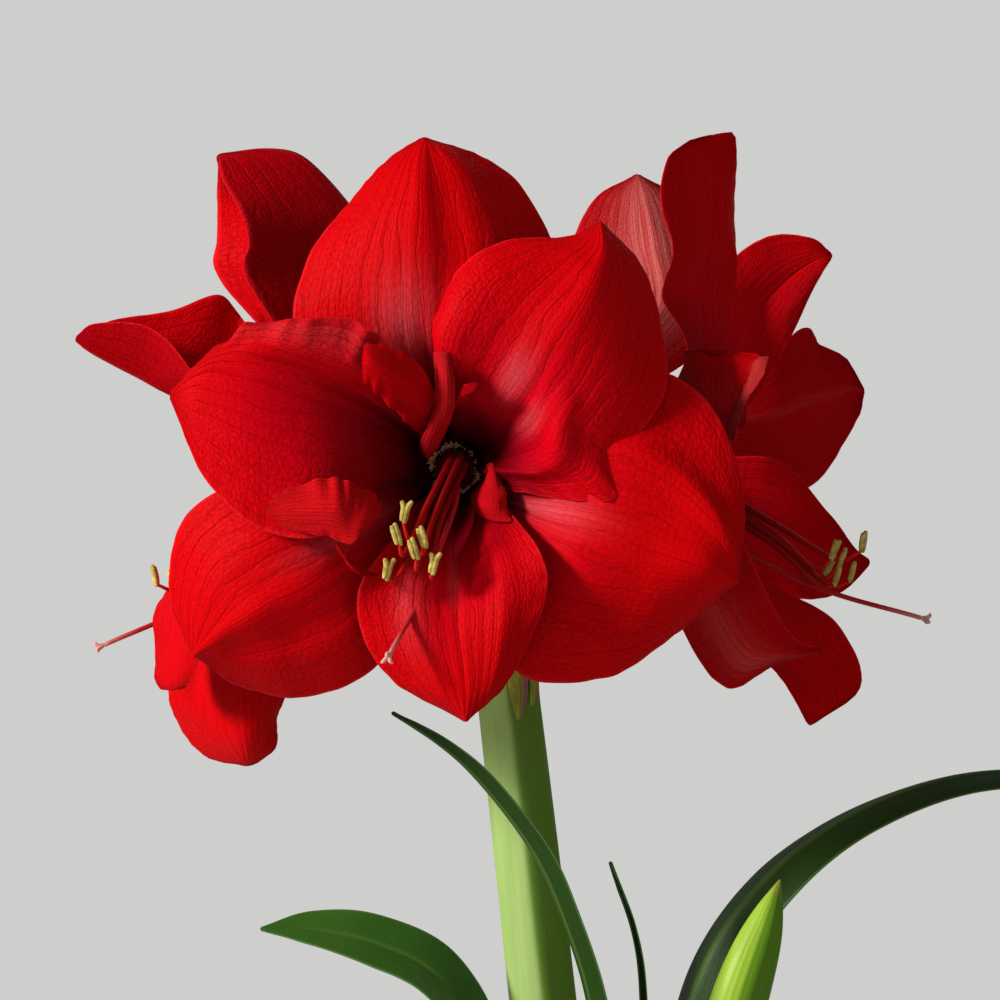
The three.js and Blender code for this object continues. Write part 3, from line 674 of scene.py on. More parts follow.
    def skin(self, shade: Shade) -> Skin:
        """Returns the blade's closed skin, with a tint that shade gives from points, t and v."""
        return shell(*self.surface(), self.thickness, self.margin_thickness, shade)


# ---------------------------------------------------------------- finishes


Colour = tuple[float, float, float, float]
Socket = bpy.types.NodeSocket
Node = bpy.types.Node
NodeTree = bpy.types.NodeTree
Material = bpy.types.Material
Value = Socket | float


def colour(code: str) -> Colour:
    """Turns a six-digit screen colour into the linear colour that shaders use."""
    parts = [int(code[k : k + 2], 16) / 255 for k in (0, 2, 4)]
    linear = [part / 12.92 if part <= 0.04045 else ((part + 0.055) / 1.055) ** 2.4 for part in parts]
    return (linear[0], linear[1], linear[2], 1.0)


class Tree:
    """A node tree that grows one node at a time."""

    def __init__(self, tree: NodeTree) -> None:
        """Starts on an empty tree."""
        self.tree = tree

    def node(self, kind: str, values: dict[str | int, object] | None = None, **settings: object) -> Node:
        """Adds a node.

        Args:
            kind: Its type, without the ShaderNode prefix.
            values: What each input gets: a plain value, or the output that feeds it.
            settings: Its properties.

        Returns:
            The node.
        """
        node = self.tree.nodes.new(f"ShaderNode{kind}" if not kind.startswith("Node") else kind)
        for name, setting in settings.items():
            setattr(node, name, setting)
        for name, value in (values or {}).items():
            if isinstance(value, Socket):
                self.link(value, node.inputs[name])
            else:
                node.inputs[name].default_value = value
        return node

    def link(self, source: Socket, target: Socket) -> None:
        """Feeds an input."""
        self.tree.links.new(source, target)

    def math(self, operation: str, first: Value, second: Value = 0.0, third: Value = 0.0,
             clamp: bool = False) -> Socket:
        """Returns the result of a Math node."""
        values = {0: first, 1: second, 2: third}
        return self.node("Math", values, operation=operation, use_clamp=clamp).outputs[0]

    def times(self, first: Socket, second: Value) -> Socket:
        """Returns a product."""
        return self.math("MULTIPLY", first, second)

    def level(self, value: Socket, span: float, start: float) -> Socket:
        """Returns the value times a span, plus a start."""
        return self.math("MULTIPLY_ADD", value, span, start)

    def between(self, value: Value, low: float, high: float) -> Socket:
        """Returns 0 up to low, 1 from high, and a smooth step between."""
        values = {"Value": value, "From Min": low, "From Max": high}
        return self.node("MapRange", values, interpolation_type="SMOOTHSTEP").outputs[0]

    def ramp(self, value: Socket, stops: Sequence[tuple[float, Colour]]) -> Socket:
        """Returns the colour of a ramp with these stops."""
        node = self.node("ValToRGB", {0: value})
        elements = node.color_ramp.elements
        for _ in stops[2:]:
            elements.new(0.5)
        for element, (place, stop) in zip(elements, stops):
            element.position = place
            element.color = stop
        return node.outputs[0]

    def mixed(self, factor: Value, first: Socket | Colour, second: Socket | Colour) -> Socket:
        """Returns the first colour blended with the second by the factor."""
        return self.node("Mix", {0: factor, 6: first, 7: second}, data_type="RGBA").outputs[2]

    def laid(self, base: Socket | Colour, over: Colour, mask: Socket, share: float = 1.0) -> Socket:
        """Returns a base with a colour laid over it where the mask is, by the share at most."""
        return self.mixed(mask if share == 1 else self.times(mask, share), base, over)

    def noise(self, vector: Socket, scale: Value, detail: float = 3, roughness: float = 0.5) -> Socket:
        """Returns noise from 0 to 1."""
        values = {"Vector": vector, "Scale": scale, "Detail": detail, "Roughness": roughness}
        return self.node("TexNoise", values).outputs[0]

    def scaled(self, vector: Socket, scale: Row) -> Socket:
        """Returns the vector times a scale on each axis."""
        return self.node("Mapping", {"Vector": vector, "Scale": tuple(scale)}).outputs[0]

    def shared(self, effect: NodeTree, **values: Value) -> Socket:
        """Returns what a shared effect gives for these inputs."""
        return self.node("Group", values, node_tree=effect).outputs[0]


class Effects:
    """The effects that several finishes share, each a shader node group that is built once."""

    def __init__(self) -> None:
        """Builds the groups."""
        self.veins = self._veins()
        self.net = self._net()
        self.mottle = self._mottle()

    @staticmethod
    def _group(name: str, output: str, **inputs: float) -> tuple[Tree, Socket, dict[str, Socket], Socket]:
        """Makes an empty group with a place and numbers going in and one number coming out.

        Args:
            name: Its name.
            output: Name of the number that comes out.
            inputs: Name and default of each number that goes in.

        Returns:
            Its tree, the place, the numbers by name, and the socket for the result.
        """
        group = bpy.data.node_groups.new(name, "ShaderNodeTree")
        group.interface.new_socket("Place", in_out="INPUT", socket_type="NodeSocketVector")
        for label, default in inputs.items():
            socket = group.interface.new_socket(label, in_out="INPUT", socket_type="NodeSocketFloat")
            socket.default_value = default
        group.interface.new_socket(output, in_out="OUTPUT", socket_type="NodeSocketFloat")
        tree = Tree(group)
        given = tree.node("NodeGroupInput").outputs
        numbers = {label: given[label] for label in inputs}
        return tree, given["Place"], numbers, tree.node("NodeGroupOutput").inputs[output]

    def _veins(self) -> NodeTree:
        """Returns lengthwise veins: thin lines a set count across, which wander a little.

        The place across, times the count, plus noise that is long along the surface, goes through
        a triangle wave, whose peaks are sharpened to lines.
        """
        tree, place, numbers, line = self._group("lengthwise_veins", "Line", Count=30, Wander=0.5, Thinness=3)
        across = tree.node("SeparateXYZ", {0: place}).outputs[0]
        noise = tree.noise(tree.scaled(place, (9, 5, 0)), 1.0, 3, 0.55)
        drift = tree.times(tree.times(noise, numbers["Wander"]), 4)
        count = tree.math("MULTIPLY_ADD", across, numbers["Count"], drift)
        wave = tree.times(tree.math("PINGPONG", count, 0.5), 2)
        tree.link(tree.math("POWER", wave, numbers["Thinness"]), line)
        return tree.tree

    def _net(self) -> NodeTree:
        """Returns a net of fine cross veins: raised cells between sunken lines, longer than wide."""
        tree, place, numbers, cells = self._group("vein_net", "Cells", Width=1.4, Length=3.2)
        parts = tree.node("SeparateXYZ", {0: place}).outputs
        across, along = (
            tree.math("DIVIDE", part, numbers[name]) for part, name in zip(parts, ("Width", "Length")))
        place = tree.node("CombineXYZ", {0: across, 1: along}).outputs[0]
        warp = tree.node("TexNoise", {"Vector": place, "Scale": 0.7, "Detail": 2.0}).outputs[1]
        moved = tree.node("VectorMath", {0: place, 1: warp}, operation="ADD").outputs[0]
        walls = tree.node("TexVoronoi", {"Vector": moved, "Scale": 1.0}, voronoi_dimensions="2D",
                          feature="DISTANCE_TO_EDGE")
        tree.link(tree.between(walls.outputs[0], 0.0, 0.32), cells)
        return tree.tree

    def _mottle(self) -> NodeTree:
        """Returns soft uneven patches: noise with its contrast raised."""
        tree, place, numbers, patch = self._group("mottle", "Patch", Size=10, Contrast=2)
        noise = tree.math("SUBTRACT", tree.noise(place, numbers["Size"], 4.0), 0.5)
        tree.link(tree.math("MULTIPLY_ADD", noise, numbers["Contrast"], 0.5, clamp=True), patch)
        return tree.tree


@dataclass(frozen=True)
class Gloss:
    """The constant shader values of a finish.

    Args:
        specular: Specular level.
        sheen: Sheen weight.
        sheen_tint: Colour of the sheen.
        sheen_roughness: How far the sheen spreads.
        coat: Weight of a clear waxy coat.
        coat_roughness: Roughness of that coat.
        subsurface: Share of light that scatters inside.
        subsurface_radius: How far red, green and blue light scatters, in metres.
    """

    specular: float = 0.5
    sheen: float = 0.0
    sheen_tint: Colour = (1.0, 1.0, 1.0, 1.0)
    sheen_roughness: float = 0.5
    coat: float = 0.0
    coat_roughness: float = 0.3
    subsurface: float = 0.0
    subsurface_radius: tuple[float, float, float] = (0.001, 0.0005, 0.0003)


class Finish:
    """A material under construction, with the places that its patterns read."""

    def __init__(self, name: str, effects: Effects | None = None) -> None:
        """Starts an empty material.

        Args:
            name: Its name.
            effects: The shared effects, where it has any.
        """
        self.effects = effects
        self.material = bpy.data.materials.new(name)
        self.material.use_nodes = True
        self.material.node_tree.nodes.clear()
        self.tree = Tree(self.material.node_tree)
        self.place = self.tree.node("TexCoord").outputs["Object"]
        self.surface = self.tree.node("UVMap", uv_map="surface").outputs[0]
        tint = self.tree.node("Attribute", attribute_name="tint")
        channels = self.tree.node("SeparateColor", {0: tint.outputs["Color"]}).outputs
        self.tint = (channels[0], channels[1], channels[2], tint.outputs["Alpha"])

    def veins(self, count: float, wander: float, thinness: float) -> Socket:
        """Returns veins along the surface."""
        values = {"Place": self.surface, "Count": count, "Wander": wander, "Thinness": thinness}
        return self.tree.shared(self.effects.veins, **values)

    def cells(self, scale: Row, width: float, length: float) -> Socket:
        """Returns the net of cells on the surface, scaled on each axis."""
        place = self.tree.scaled(self.surface, scale)
        return self.tree.shared(self.effects.net, Place=place, Width=width, Length=length)

    def patches(self, size: float, contrast: float, place: Socket | None = None) -> Socket:
        """Returns soft patches, which read the object's own places unless others are given."""
        return self.tree.shared(self.effects.mottle, Place=place or self.place, Size=size, Contrast=contrast)

    def bump(self, heights: Sequence[tuple[Socket, float]], depth: float) -> Socket:
        """Returns a normal bumped by a weighted sum of heights.

        Args:
            heights: Each height with its weight.
            depth: Height in millimetres that a sum of 1 stands for.
        """
        total: Value = 0.0
        for height, weight in heights:
            total = self.tree.math("MULTIPLY_ADD", height, weight, total)
        values = {"Height": total, "Distance": depth * METRES_PER_MM, "Strength": 1.0}
        return self.tree.node("Bump", values).outputs[0]

    def done(self, base: Socket, roughness: Value, normal: Socket | None, gloss: Gloss) -> Material:
        """Wires the shader and returns the material.

        Args:
            base: Base colour.
            roughness: Roughness, as a socket or one number.
            normal: Bumped normal.
            gloss: The constant values.
        """
        shader = self.tree.node("BsdfPrincipled", {
            "Base Color": base,
            "Roughness": roughness,
            "Specular IOR Level": gloss.specular,
            "Sheen Weight": gloss.sheen,
            "Sheen Tint": gloss.sheen_tint,
            "Sheen Roughness": gloss.sheen_roughness,
            "Coat Weight": gloss.coat,
            "Coat Roughness": gloss.coat_roughness,
            "Subsurface Weight": gloss.subsurface,
            "Subsurface Radius": gloss.subsurface_radius,
            "Subsurface Scale": 1.0,
        })
        if normal is not None:
            self.tree.link(normal, shader.inputs["Normal"])
        self.tree.node("OutputMaterial", {"Surface": shader.outputs[0]})
        return self.material


@dataclass(frozen=True)
class PetalFinish:
    """Velvety red, dark in the throat, with lengthwise veins and a fine net between them.

    The tint's red is the distance from the throat, whose dark is partly the petal's own colour and partly
    painted shade, green the distance from the midrib, blue the patches of painted sheen, and alpha the face.
    """

    throat: Colour = colour("120004")
    deep: Colour = colour("7a0008")
    body: Colour = colour("dc0004")
    # The pink of the painted sheen.
    flush: Colour = colour("c40034")
    painted_sheen_pink: Colour = colour("e86a74")
    outer: Colour = colour("c4000c")
    midrib: Colour = colour("f08f88")
    margin: Colour = colour("e2202c")
    sheen: Colour = colour("ff5060")

    def material(self, effects: Effects) -> Material:
        """Builds the material."""
        finish = Finish("velvet_red", effects)
        tree = finish.tree
        far, beside, pale, inner = finish.tint
        fine, broad = finish.veins(44, 0.35, 5), finish.veins(13, 0.5, 7)
        net = (70, 125, 1)
        cells = finish.cells(net, 1.1, 2.4)
        outward = tree.between(beside, 0.05, 0.7)
        pebbles = finish.cells((36, 58, 1), 1.0, 1.0)
        # Mask of the hollows between pebbles in the outer half, which get painted shade.
        painted_pit_shade = tree.times(tree.math("SUBTRACT", 1.0, pebbles), outward)

        # The throat's dark is partly the petal's own colour and partly painted shade of the deep funnel; the
        # crimson flush band tints the edge of that painted shade.
        inside = tree.ramp(far, [
            (0.0, self.throat), (0.13, self.throat), (0.29, self.deep), (0.46, self.body), (1.0, self.body)])
        band = tree.times(tree.between(far, 0.22, 0.34), tree.between(far, 0.75, 0.42))
        middle = tree.math("POWER", tree.math("SUBTRACT", 1.0, beside), 0.6)
        inside = tree.laid(inside, self.flush, tree.times(band, middle), 0.22)
        # Painted sheen: pale pink brushed patches where the tint's blue is, standing in for the highlights of
        # the satin face, laid on both faces.
        brushed = tree.noise(tree.scaled(finish.surface, (38, 2.2, 1)), 1.0, 4, 0.62)
        painted_sheen_mask = tree.times(pale, tree.level(tree.between(brushed, 0.3, 0.66), 0.6, 0.3))
        inside = tree.laid(inside, self.painted_sheen_pink, painted_sheen_mask, 0.62)
        rib = tree.times(tree.between(beside, 0.12, 0.0), 0.05)
        outside = tree.laid(self.outer, self.midrib, tree.math("MAXIMUM", rib, painted_sheen_mask))

        base = tree.mixed(inner, outside, inside)
        for lines in (fine, broad, tree.math("SUBTRACT", 1.0, cells)):
            base = tree.laid(base, self.deep, lines, 0.2)
        base = tree.laid(base, self.flush, finish.patches(45, 2.2), 0.04)
        # Painted shade in the hollows between the pebbles.
        base = tree.laid(base, self.deep, painted_pit_shade, 0.2)
        # A paler margin, partly the petal's own edge and partly painted sheen along it.
        base = tree.laid(base, self.margin, tree.between(beside, 0.965, 1.0), 0.5)
        grain = tree.noise(finish.place, 2600, 2)
        puckers = tree.noise(tree.scaled(finish.surface, net), 0.45, 3)
        normal = finish.bump([
            (cells, 0.25), (fine, -0.4), (broad, -1.0), (grain, 0.2), (puckers, 1.2),
            (tree.times(pebbles, outward), 0.55)], 0.18)
        return finish.done(base, tree.level(cells, 0.08, 0.5), normal, Gloss(
            specular=0.03, sheen=0.018, sheen_tint=self.sheen, sheen_roughness=0.3,
            subsurface=0.05, subsurface_radius=(0.0012, 0.00005, 0.00005)))


@dataclass(frozen=True)
class StamenFinish:
    """Red filaments, pale yellow pollen on the anthers and a cream fringe.

    The tint's red marks an anther, green the fringe and blue the filament's paler end.
    """

    filament: Colour = colour("7c040c")
    tip: Colour = colour("d8241a")
    pollen: Colour = colour("ffe680")
    pollen_shade: Colour = colour("b49a45")
    # Cream warmed towards red: partly the fringe's own colour and partly painted reflection of light from the
    # red petals.
    fringe: Colour = colour("ffcb9c")

    def material(self, effects: Effects) -> Material:
        """Builds the material."""
        finish = Finish("stamens", effects)
        tree = finish.tree
        anther, fringe, end, _ = finish.tint
        red = tree.mixed(end, self.filament, self.tip)
        pollen = tree.laid(self.pollen, self.pollen_shade, finish.patches(420, 2.5))
        base = tree.mixed(anther, tree.mixed(fringe, red, self.fringe), pollen)
        grains = tree.times(tree.noise(finish.place, 3200, 2), anther)
        return finish.done(base, tree.level(anther, 0.35, 0.5), finish.bump([(grains, 1.0)], 0.8),
                           Gloss(specular=0.06, subsurface=0.05))


@dataclass(frozen=True)
class StyleFinish:
    """A smooth red style that turns pale towards its stigma, which the tint's red marks."""

    shaft: Colour = colour("c4242a")
    stigma: Colour = colour("e8a9a0")

    def material(self) -> Material:
        """Builds the material."""
        finish = Finish("style")
        tree = finish.tree
        base = tree.mixed(finish.tint[0], self.shaft, self.stigma)
        normal = finish.bump([(tree.noise(finish.place, 2400), 1.0)], 0.06)
        return finish.done(base, 0.42, normal, Gloss(specular=0.1))


@dataclass(frozen=True)
class StemFinish:
    """A smooth green stem with fine ribs, a waxy bloom and a second colour that the tint's red marks.

    Args:
        name: Name of the material.
        pale: Lit, waxy green.
        dark: The green under the wax.
        second: The second colour.
        ribs: Fine ribs round half the stem.
        wax: Weight of the waxy coat.
        deep: The deeper green of the painted shade on the stem's unlit side, which the tint's blue marks.
    """

    name: str
    pale: Colour
    dark: Colour
    second: Colour
    ribs: float
    wax: float = 0.05
    deep: Colour = colour("74a528")

    def material(self, effects: Effects) -> Material:
        """Builds the material."""
        finish = Finish(self.name, effects)
        tree = finish.tree
        veins = finish.veins(self.ribs, 0.3, 2)
        long_place = tree.scaled(finish.place, (1, 1, 0.08))
        patch = finish.patches(130, 2.2, long_place)
        base = tree.laid(self.pale, self.dark, patch, 0.55)
        base = tree.laid(base, self.dark, veins, 0.08)
        specks = tree.between(tree.noise(finish.place, 900, 2), 0.62, 0.72)
        base = tree.laid(base, self.pale, specks, 0.18)
        # Painted shade: the deeper green on the side turned from the lamp.
        base = tree.laid(base, self.deep, finish.tint[2])
        base = tree.laid(base, self.second, finish.tint[0])
        normal = finish.bump([(veins, 0.35), (tree.noise(long_place, 700), 0.3)], 0.12)
        return finish.done(base, tree.level(patch, 0.14, 0.42), normal, Gloss(
            specular=0.2, coat=self.wax, coat_roughness=0.35, subsurface=0.08,
            subsurface_radius=(0.0006, 0.0012, 0.0003)))


@dataclass(frozen=True)
class LeafFinish:
    """Satin dark green with close parallel veins, a paler midrib and a darker underside.

    The tint's green is the distance from the midrib, red the place along the leaf, and alpha the
    face.
    """

    upper: Colour = colour("2f5b1c")
    bright: Colour = colour("508024")
    under: Colour = colour("1f3e08")
    midrib: Colour = colour("86a04c")
    foot: Colour = colour("a9bd84")
    rim: Colour = colour("8fae6b")

    def material(self, effects: Effects) -> Material:
        """Builds the material."""
        finish = Finish("leaf", effects)
        tree = finish.tree
        along, beside, _, inner = finish.tint
        veins, patch = finish.veins(34, 0.12, 2.5), finish.patches(28, 2.4)
        base = tree.mixed(inner, self.under, tree.laid(self.upper, self.bright, patch, 0.5))
        base = tree.laid(base, self.bright, veins, 0.12)
        base = tree.laid(base, self.midrib, tree.between(beside, 0.16, 0.02), 0.2)
        base = tree.laid(base, self.foot, tree.between(along, 0.22, 0.0))
        # A paler rim, partly the leaf's own edge and partly a painted highlight along it.
        base = tree.laid(base, self.rim, tree.between(beside, 0.93, 1.0), 0.3)
        normal = finish.bump([(veins, 0.45), (tree.noise(finish.place, 1500), 0.25)], 0.12)
        return finish.done(base, tree.level(patch, 0.12, 0.34), normal, Gloss(
            specular=0.2, coat=0.03, coat_roughness=0.3, subsurface=0.04,
            subsurface_radius=(0.0003, 0.0008, 0.0002)))


@dataclass(frozen=True)
class PaperFinish:
    """Dry papery scales with lengthwise fibres and darker patches.

    Args:
        name: Name of the material.
        skin: Colour of the dry skin.
        dark: Colour of its fibres and patches.
        fresh: The fresh colour that the tint's red marks.
        fibres: Value of fibres across.
    """

    name: str
    skin: Colour
    dark: Colour
    fresh: Colour
    fibres: float

    def material(self, effects: Effects) -> Material:
        """Builds the material."""
        finish = Finish(self.name, effects)
        tree = finish.tree
        fibres = finish.veins(self.fibres, 0.5, 2.5)
        patch, fine = finish.patches(60, 3), finish.patches(400, 2)
        base = tree.laid(self.skin, self.dark, patch, 0.7)
        base = tree.laid(base, self.dark, fibres, 0.4)
        base = tree.laid(base, self.skin, fine, 0.2)
        base = tree.laid(base, self.fresh, finish.tint[0])
        normal = finish.bump([(fibres, 0.8), (patch, 1.0), (fine, 0.5)], 0.35)
        return finish.done(base, tree.level(patch, 0.2, 0.55), normal,
                           Gloss(specular=0.35, coat=0.04, coat_roughness=0.4))


@dataclass(frozen=True)
class SoilFinish:
    """Dark potting mix with brown fibres and a few pale grains."""

    dark: Colour = colour("1c130d")
    brown: Colour = colour("4a3423")
    grain: Colour = colour("cfc6b4")

    def material(self, effects: Effects) -> Material:
        """Builds the material."""
        finish = Finish("potting_mix", effects)
        tree = finish.tree
        patch, fine = finish.patches(300, 3), tree.noise(finish.place, 1200, 4, 0.7)
        base = tree.laid(self.dark, self.brown, tree.times(patch, finish.tint[0]))
        base = tree.laid(base, self.dark, fine, 0.5)
        pale = tree.between(tree.noise(finish.place, 260, 0), 0.76, 0.79)
        base = tree.laid(base, self.grain, pale, 0.8)
        return finish.done(base, 0.92, finish.bump([(fine, 1.0), (patch, 0.6)], 1.2), Gloss(specular=0.2))


@dataclass(frozen=True)
class ClayFinish:
    """Matt fired clay with a pale bloom of salts, darker damp patches and fine throwing lines."""

    clay: Colour = colour("b8653f")
    dark: Colour = colour("8f4a2c")
    bloom: Colour = colour("d3a588")

    def material(self, effects: Effects) -> Material:
        """Builds the material."""
        finish = Finish("clay", effects)
        tree = finish.tree
        patch = finish.patches(26, 2.6)
        lines = tree.noise(tree.scaled(finish.place, (0.04, 0.04, 1)), 480, 3)
        grit = tree.noise(finish.place, 1500, 3, 0.7)
        base = tree.laid(self.clay, self.dark, patch, 0.6)
        base = tree.laid(base, self.bloom, finish.patches(9, 3), 0.35)
        base = tree.laid(base, self.dark, grit, 0.25)
        normal = finish.bump([(lines, 0.5), (grit, 0.6)], 0.25)
        return finish.done(base, tree.level(patch, 0.1, 0.78), normal, Gloss(specular=0.25))


@dataclass(frozen=True)
class FloorFinish:
    """A plain pale floor, slightly uneven."""

    pale: Colour = colour("cfcfcc")
    shade: Colour = colour("b9b9b6")

    def material(self) -> Material:
        """Builds the material."""
        finish = Finish("floor")
        base = finish.tree.laid(self.pale, self.shade, finish.tree.noise(finish.place, 3), 0.12)
        return finish.done(base, 0.8, None, Gloss(specular=0.2))
# ---------------------------------------------------------------- blooms


GAP = 0.3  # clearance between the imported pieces
ROOT_SPREAD = math.radians(52)  # half the angle that a petal's root covers
ROOT_RISE = 7.0  # height of a petal's second root station
ALL_PETAL_LENGTH = 120.0  # distance from the throat at which a petal's colour is fully grown
TRUMPET_BEND = 22.0  # distance over which the front bloom's petals turn from steep to flat
TRUMPET_EDGE = 92.0  # distance at which they have bent back by TRUMPET_DROP
TRUMPET_DROP = 12.0
PEDICEL_HANDLE = 34.0  # length of the pedicel curve's straight pull at each end
ANTHER_HALF = 3.8  # half the length of an anther


class Whorl(Enum):
    """A ring of petals.

    Args:
        ring: Radius on which the petals stand.
        flare: How far a petal has opened at its second root station.
        reach: How far the front bloom's petals come forward.
    """

    INNER = (8.0, 1.9, 58.0)
    OUTER = (11.6, 2.8, 48.0)

    def __init__(self, ring: float, flare: float, reach: float) -> None:
        """Names the three numbers."""
        self.ring, self.flare, self.reach = ring, flare, reach


@dataclass(frozen=True)
class Growth:
    """An evenly grown petal, which leaves the tube, spreads and bends back.

    Args:
        length: Scale of its reach.
        width: Scale of its breadth.
        open: How far it spreads.
        fold: How far its edges come forward.
        back: How far it leans back.
    """

    length: float = 1.0
    width: float = 1.0
    open: float = 1.0
    fold: float = 0.12
    back: float = 0.0

    ROWS = ((17, 19, 15), (38, 36, 26), (54, 60, 32), (60, 84, 28), (57, 103, 16), (53, 113, 1.4))

    def stations(self, bloom: "Bloom", azimuth: float) -> Field:
        """Returns the stations past the root: left, midrib and right of each row."""
        angle = math.radians(azimuth)
        along, radius, half = np.array(self.ROWS, float).T[:, :, None]
        side = np.array((-1.0, 0.0, 1.0))[None, :]
        forward = along * self.length * (2 - self.open) - self.back * radius / 60
        forward = forward + np.abs(side) * self.fold * half
        spread = bloom.at(forward, np.repeat(radius * self.length * self.open, 3, axis=1), angle)
        across = bloom.right * math.cos(angle) - bloom.up * math.sin(angle)
        return spread + (side * half * self.width)[..., None] * across


@dataclass(frozen=True)
class Flap:
    """A small blade that stands on a petal's face, such as a folded or rolled stretch of its margin.

    Args:
        rows: Left, midrib and right of each station, each as x, z and how far it stands in front of
            the petal.
        keel: Power of its cross-section.
        frill: Height of the waves along its margin.
        shade: Distances from the throat that its colour is taken at, at its root and tip, as shares
            of ALL_PETAL_LENGTH, which paint light and shade on it: a flap meant to look lit takes the paler
            body red.
        folds: Its ridges and ruffles.
        sheen: Strength of the painted sheen on it: pale brushed marks that stand in for highlights.
        reach: Distance within which the petal's nearest point counts.
    """

    rows: Sequence[Row]
    keel: float = 1.6
    frill: float = 0.4
    shade: tuple[float, float] = (0.45, 0.45)
    folds: Sequence[Ridge | Ruffle] = ()
    sheen: float = 0
    reach: float = 1

    def stations(self, face: Field) -> Field:
        """Returns its stations, with depths measured from the nearest face of the petal behind.

        Args:
            face: Points of the petal's surface.
        """
        rows = rails_of(self.rows)
        x, z = rows[..., 0] + HEAD_ORIGIN[0], rows[..., 1] + HEAD_ORIGIN[2]
        apart = np.hypot(face[..., 0] - x[..., None, None], face[..., 2] - z[..., None, None])
        close = apart < apart.min(axis=(2, 3), keepdims=True) + self.reach
        y = np.where(close, face[..., 1], np.inf).min(axis=(2, 3)) - rows[..., 2]
        return np.stack([x, y, z], axis=-1)

    def skin(self, face: Field, seed: int) -> Skin:
        """Returns the flap's skin, with the tint of the petal at the distances of its shade.

        Args:
            face: Points of the petal's surface.
            seed: Seed of its unevenness.
        """
        relief = Relief(ribs=3, rib_height=0.12, frill=self.frill, frills=6, groove=0, ragged=0.04)
        blade = Blade(self.stations(face), Form(self.keel), relief, along=56, across=24, seed=seed,
                      folds=self.folds)
        # Its painted light and shade come from its shade, and its painted sheen from its sheen.
        start, end = self.shade
        return blade.skin(lambda points, t, v: (start + (end - start) * t, 0.3 + 0.7 * np.abs(v), self.sheen))

@dataclass(frozen=True)
class Petal:
    """One petal of a bloom, given by one of three kinds of rows.

    Args:
        place: Where it stands in its bloom.
        whorl: Its ring.
        azimuth: Its direction about the bloom's axis, from up to the right of someone who looks in.
        form: Its large form.
        facing: Rows of x, z and distance behind the front bloom's trumpet, three times.
        placed: Rows of x, y and z, three times, in the head's frame.
        grown: Its growth, if it has no rows.
        curls: Stretches of margin that roll over.
        folds: Its ridges and ruffles.
        flaps: Folded stretches of its margin.
        painted_shade_reach: How far the throat's dark, partly painted shade, reaches up it, from 0 to 1; more
            on petals that sit in shade.
        pale: Patches of painted sheen, brushed and pale pink, that stand in for highlights: t and v of
            the middle, half length in t, half width in v, strength.
    """

    place: str
    whorl: Whorl
    azimuth: float
    form: Form
    facing: Sequence[Row] = ()
    placed: Sequence[Row] = ()
    grown: Growth | None = None
    curls: Sequence[Curl] = ()
    folds: Sequence[Ridge | Ruffle] = ()
    flaps: Sequence[Flap] = ()
    painted_shade_reach: float = 0.35
    pale: Sequence[Row] = ()


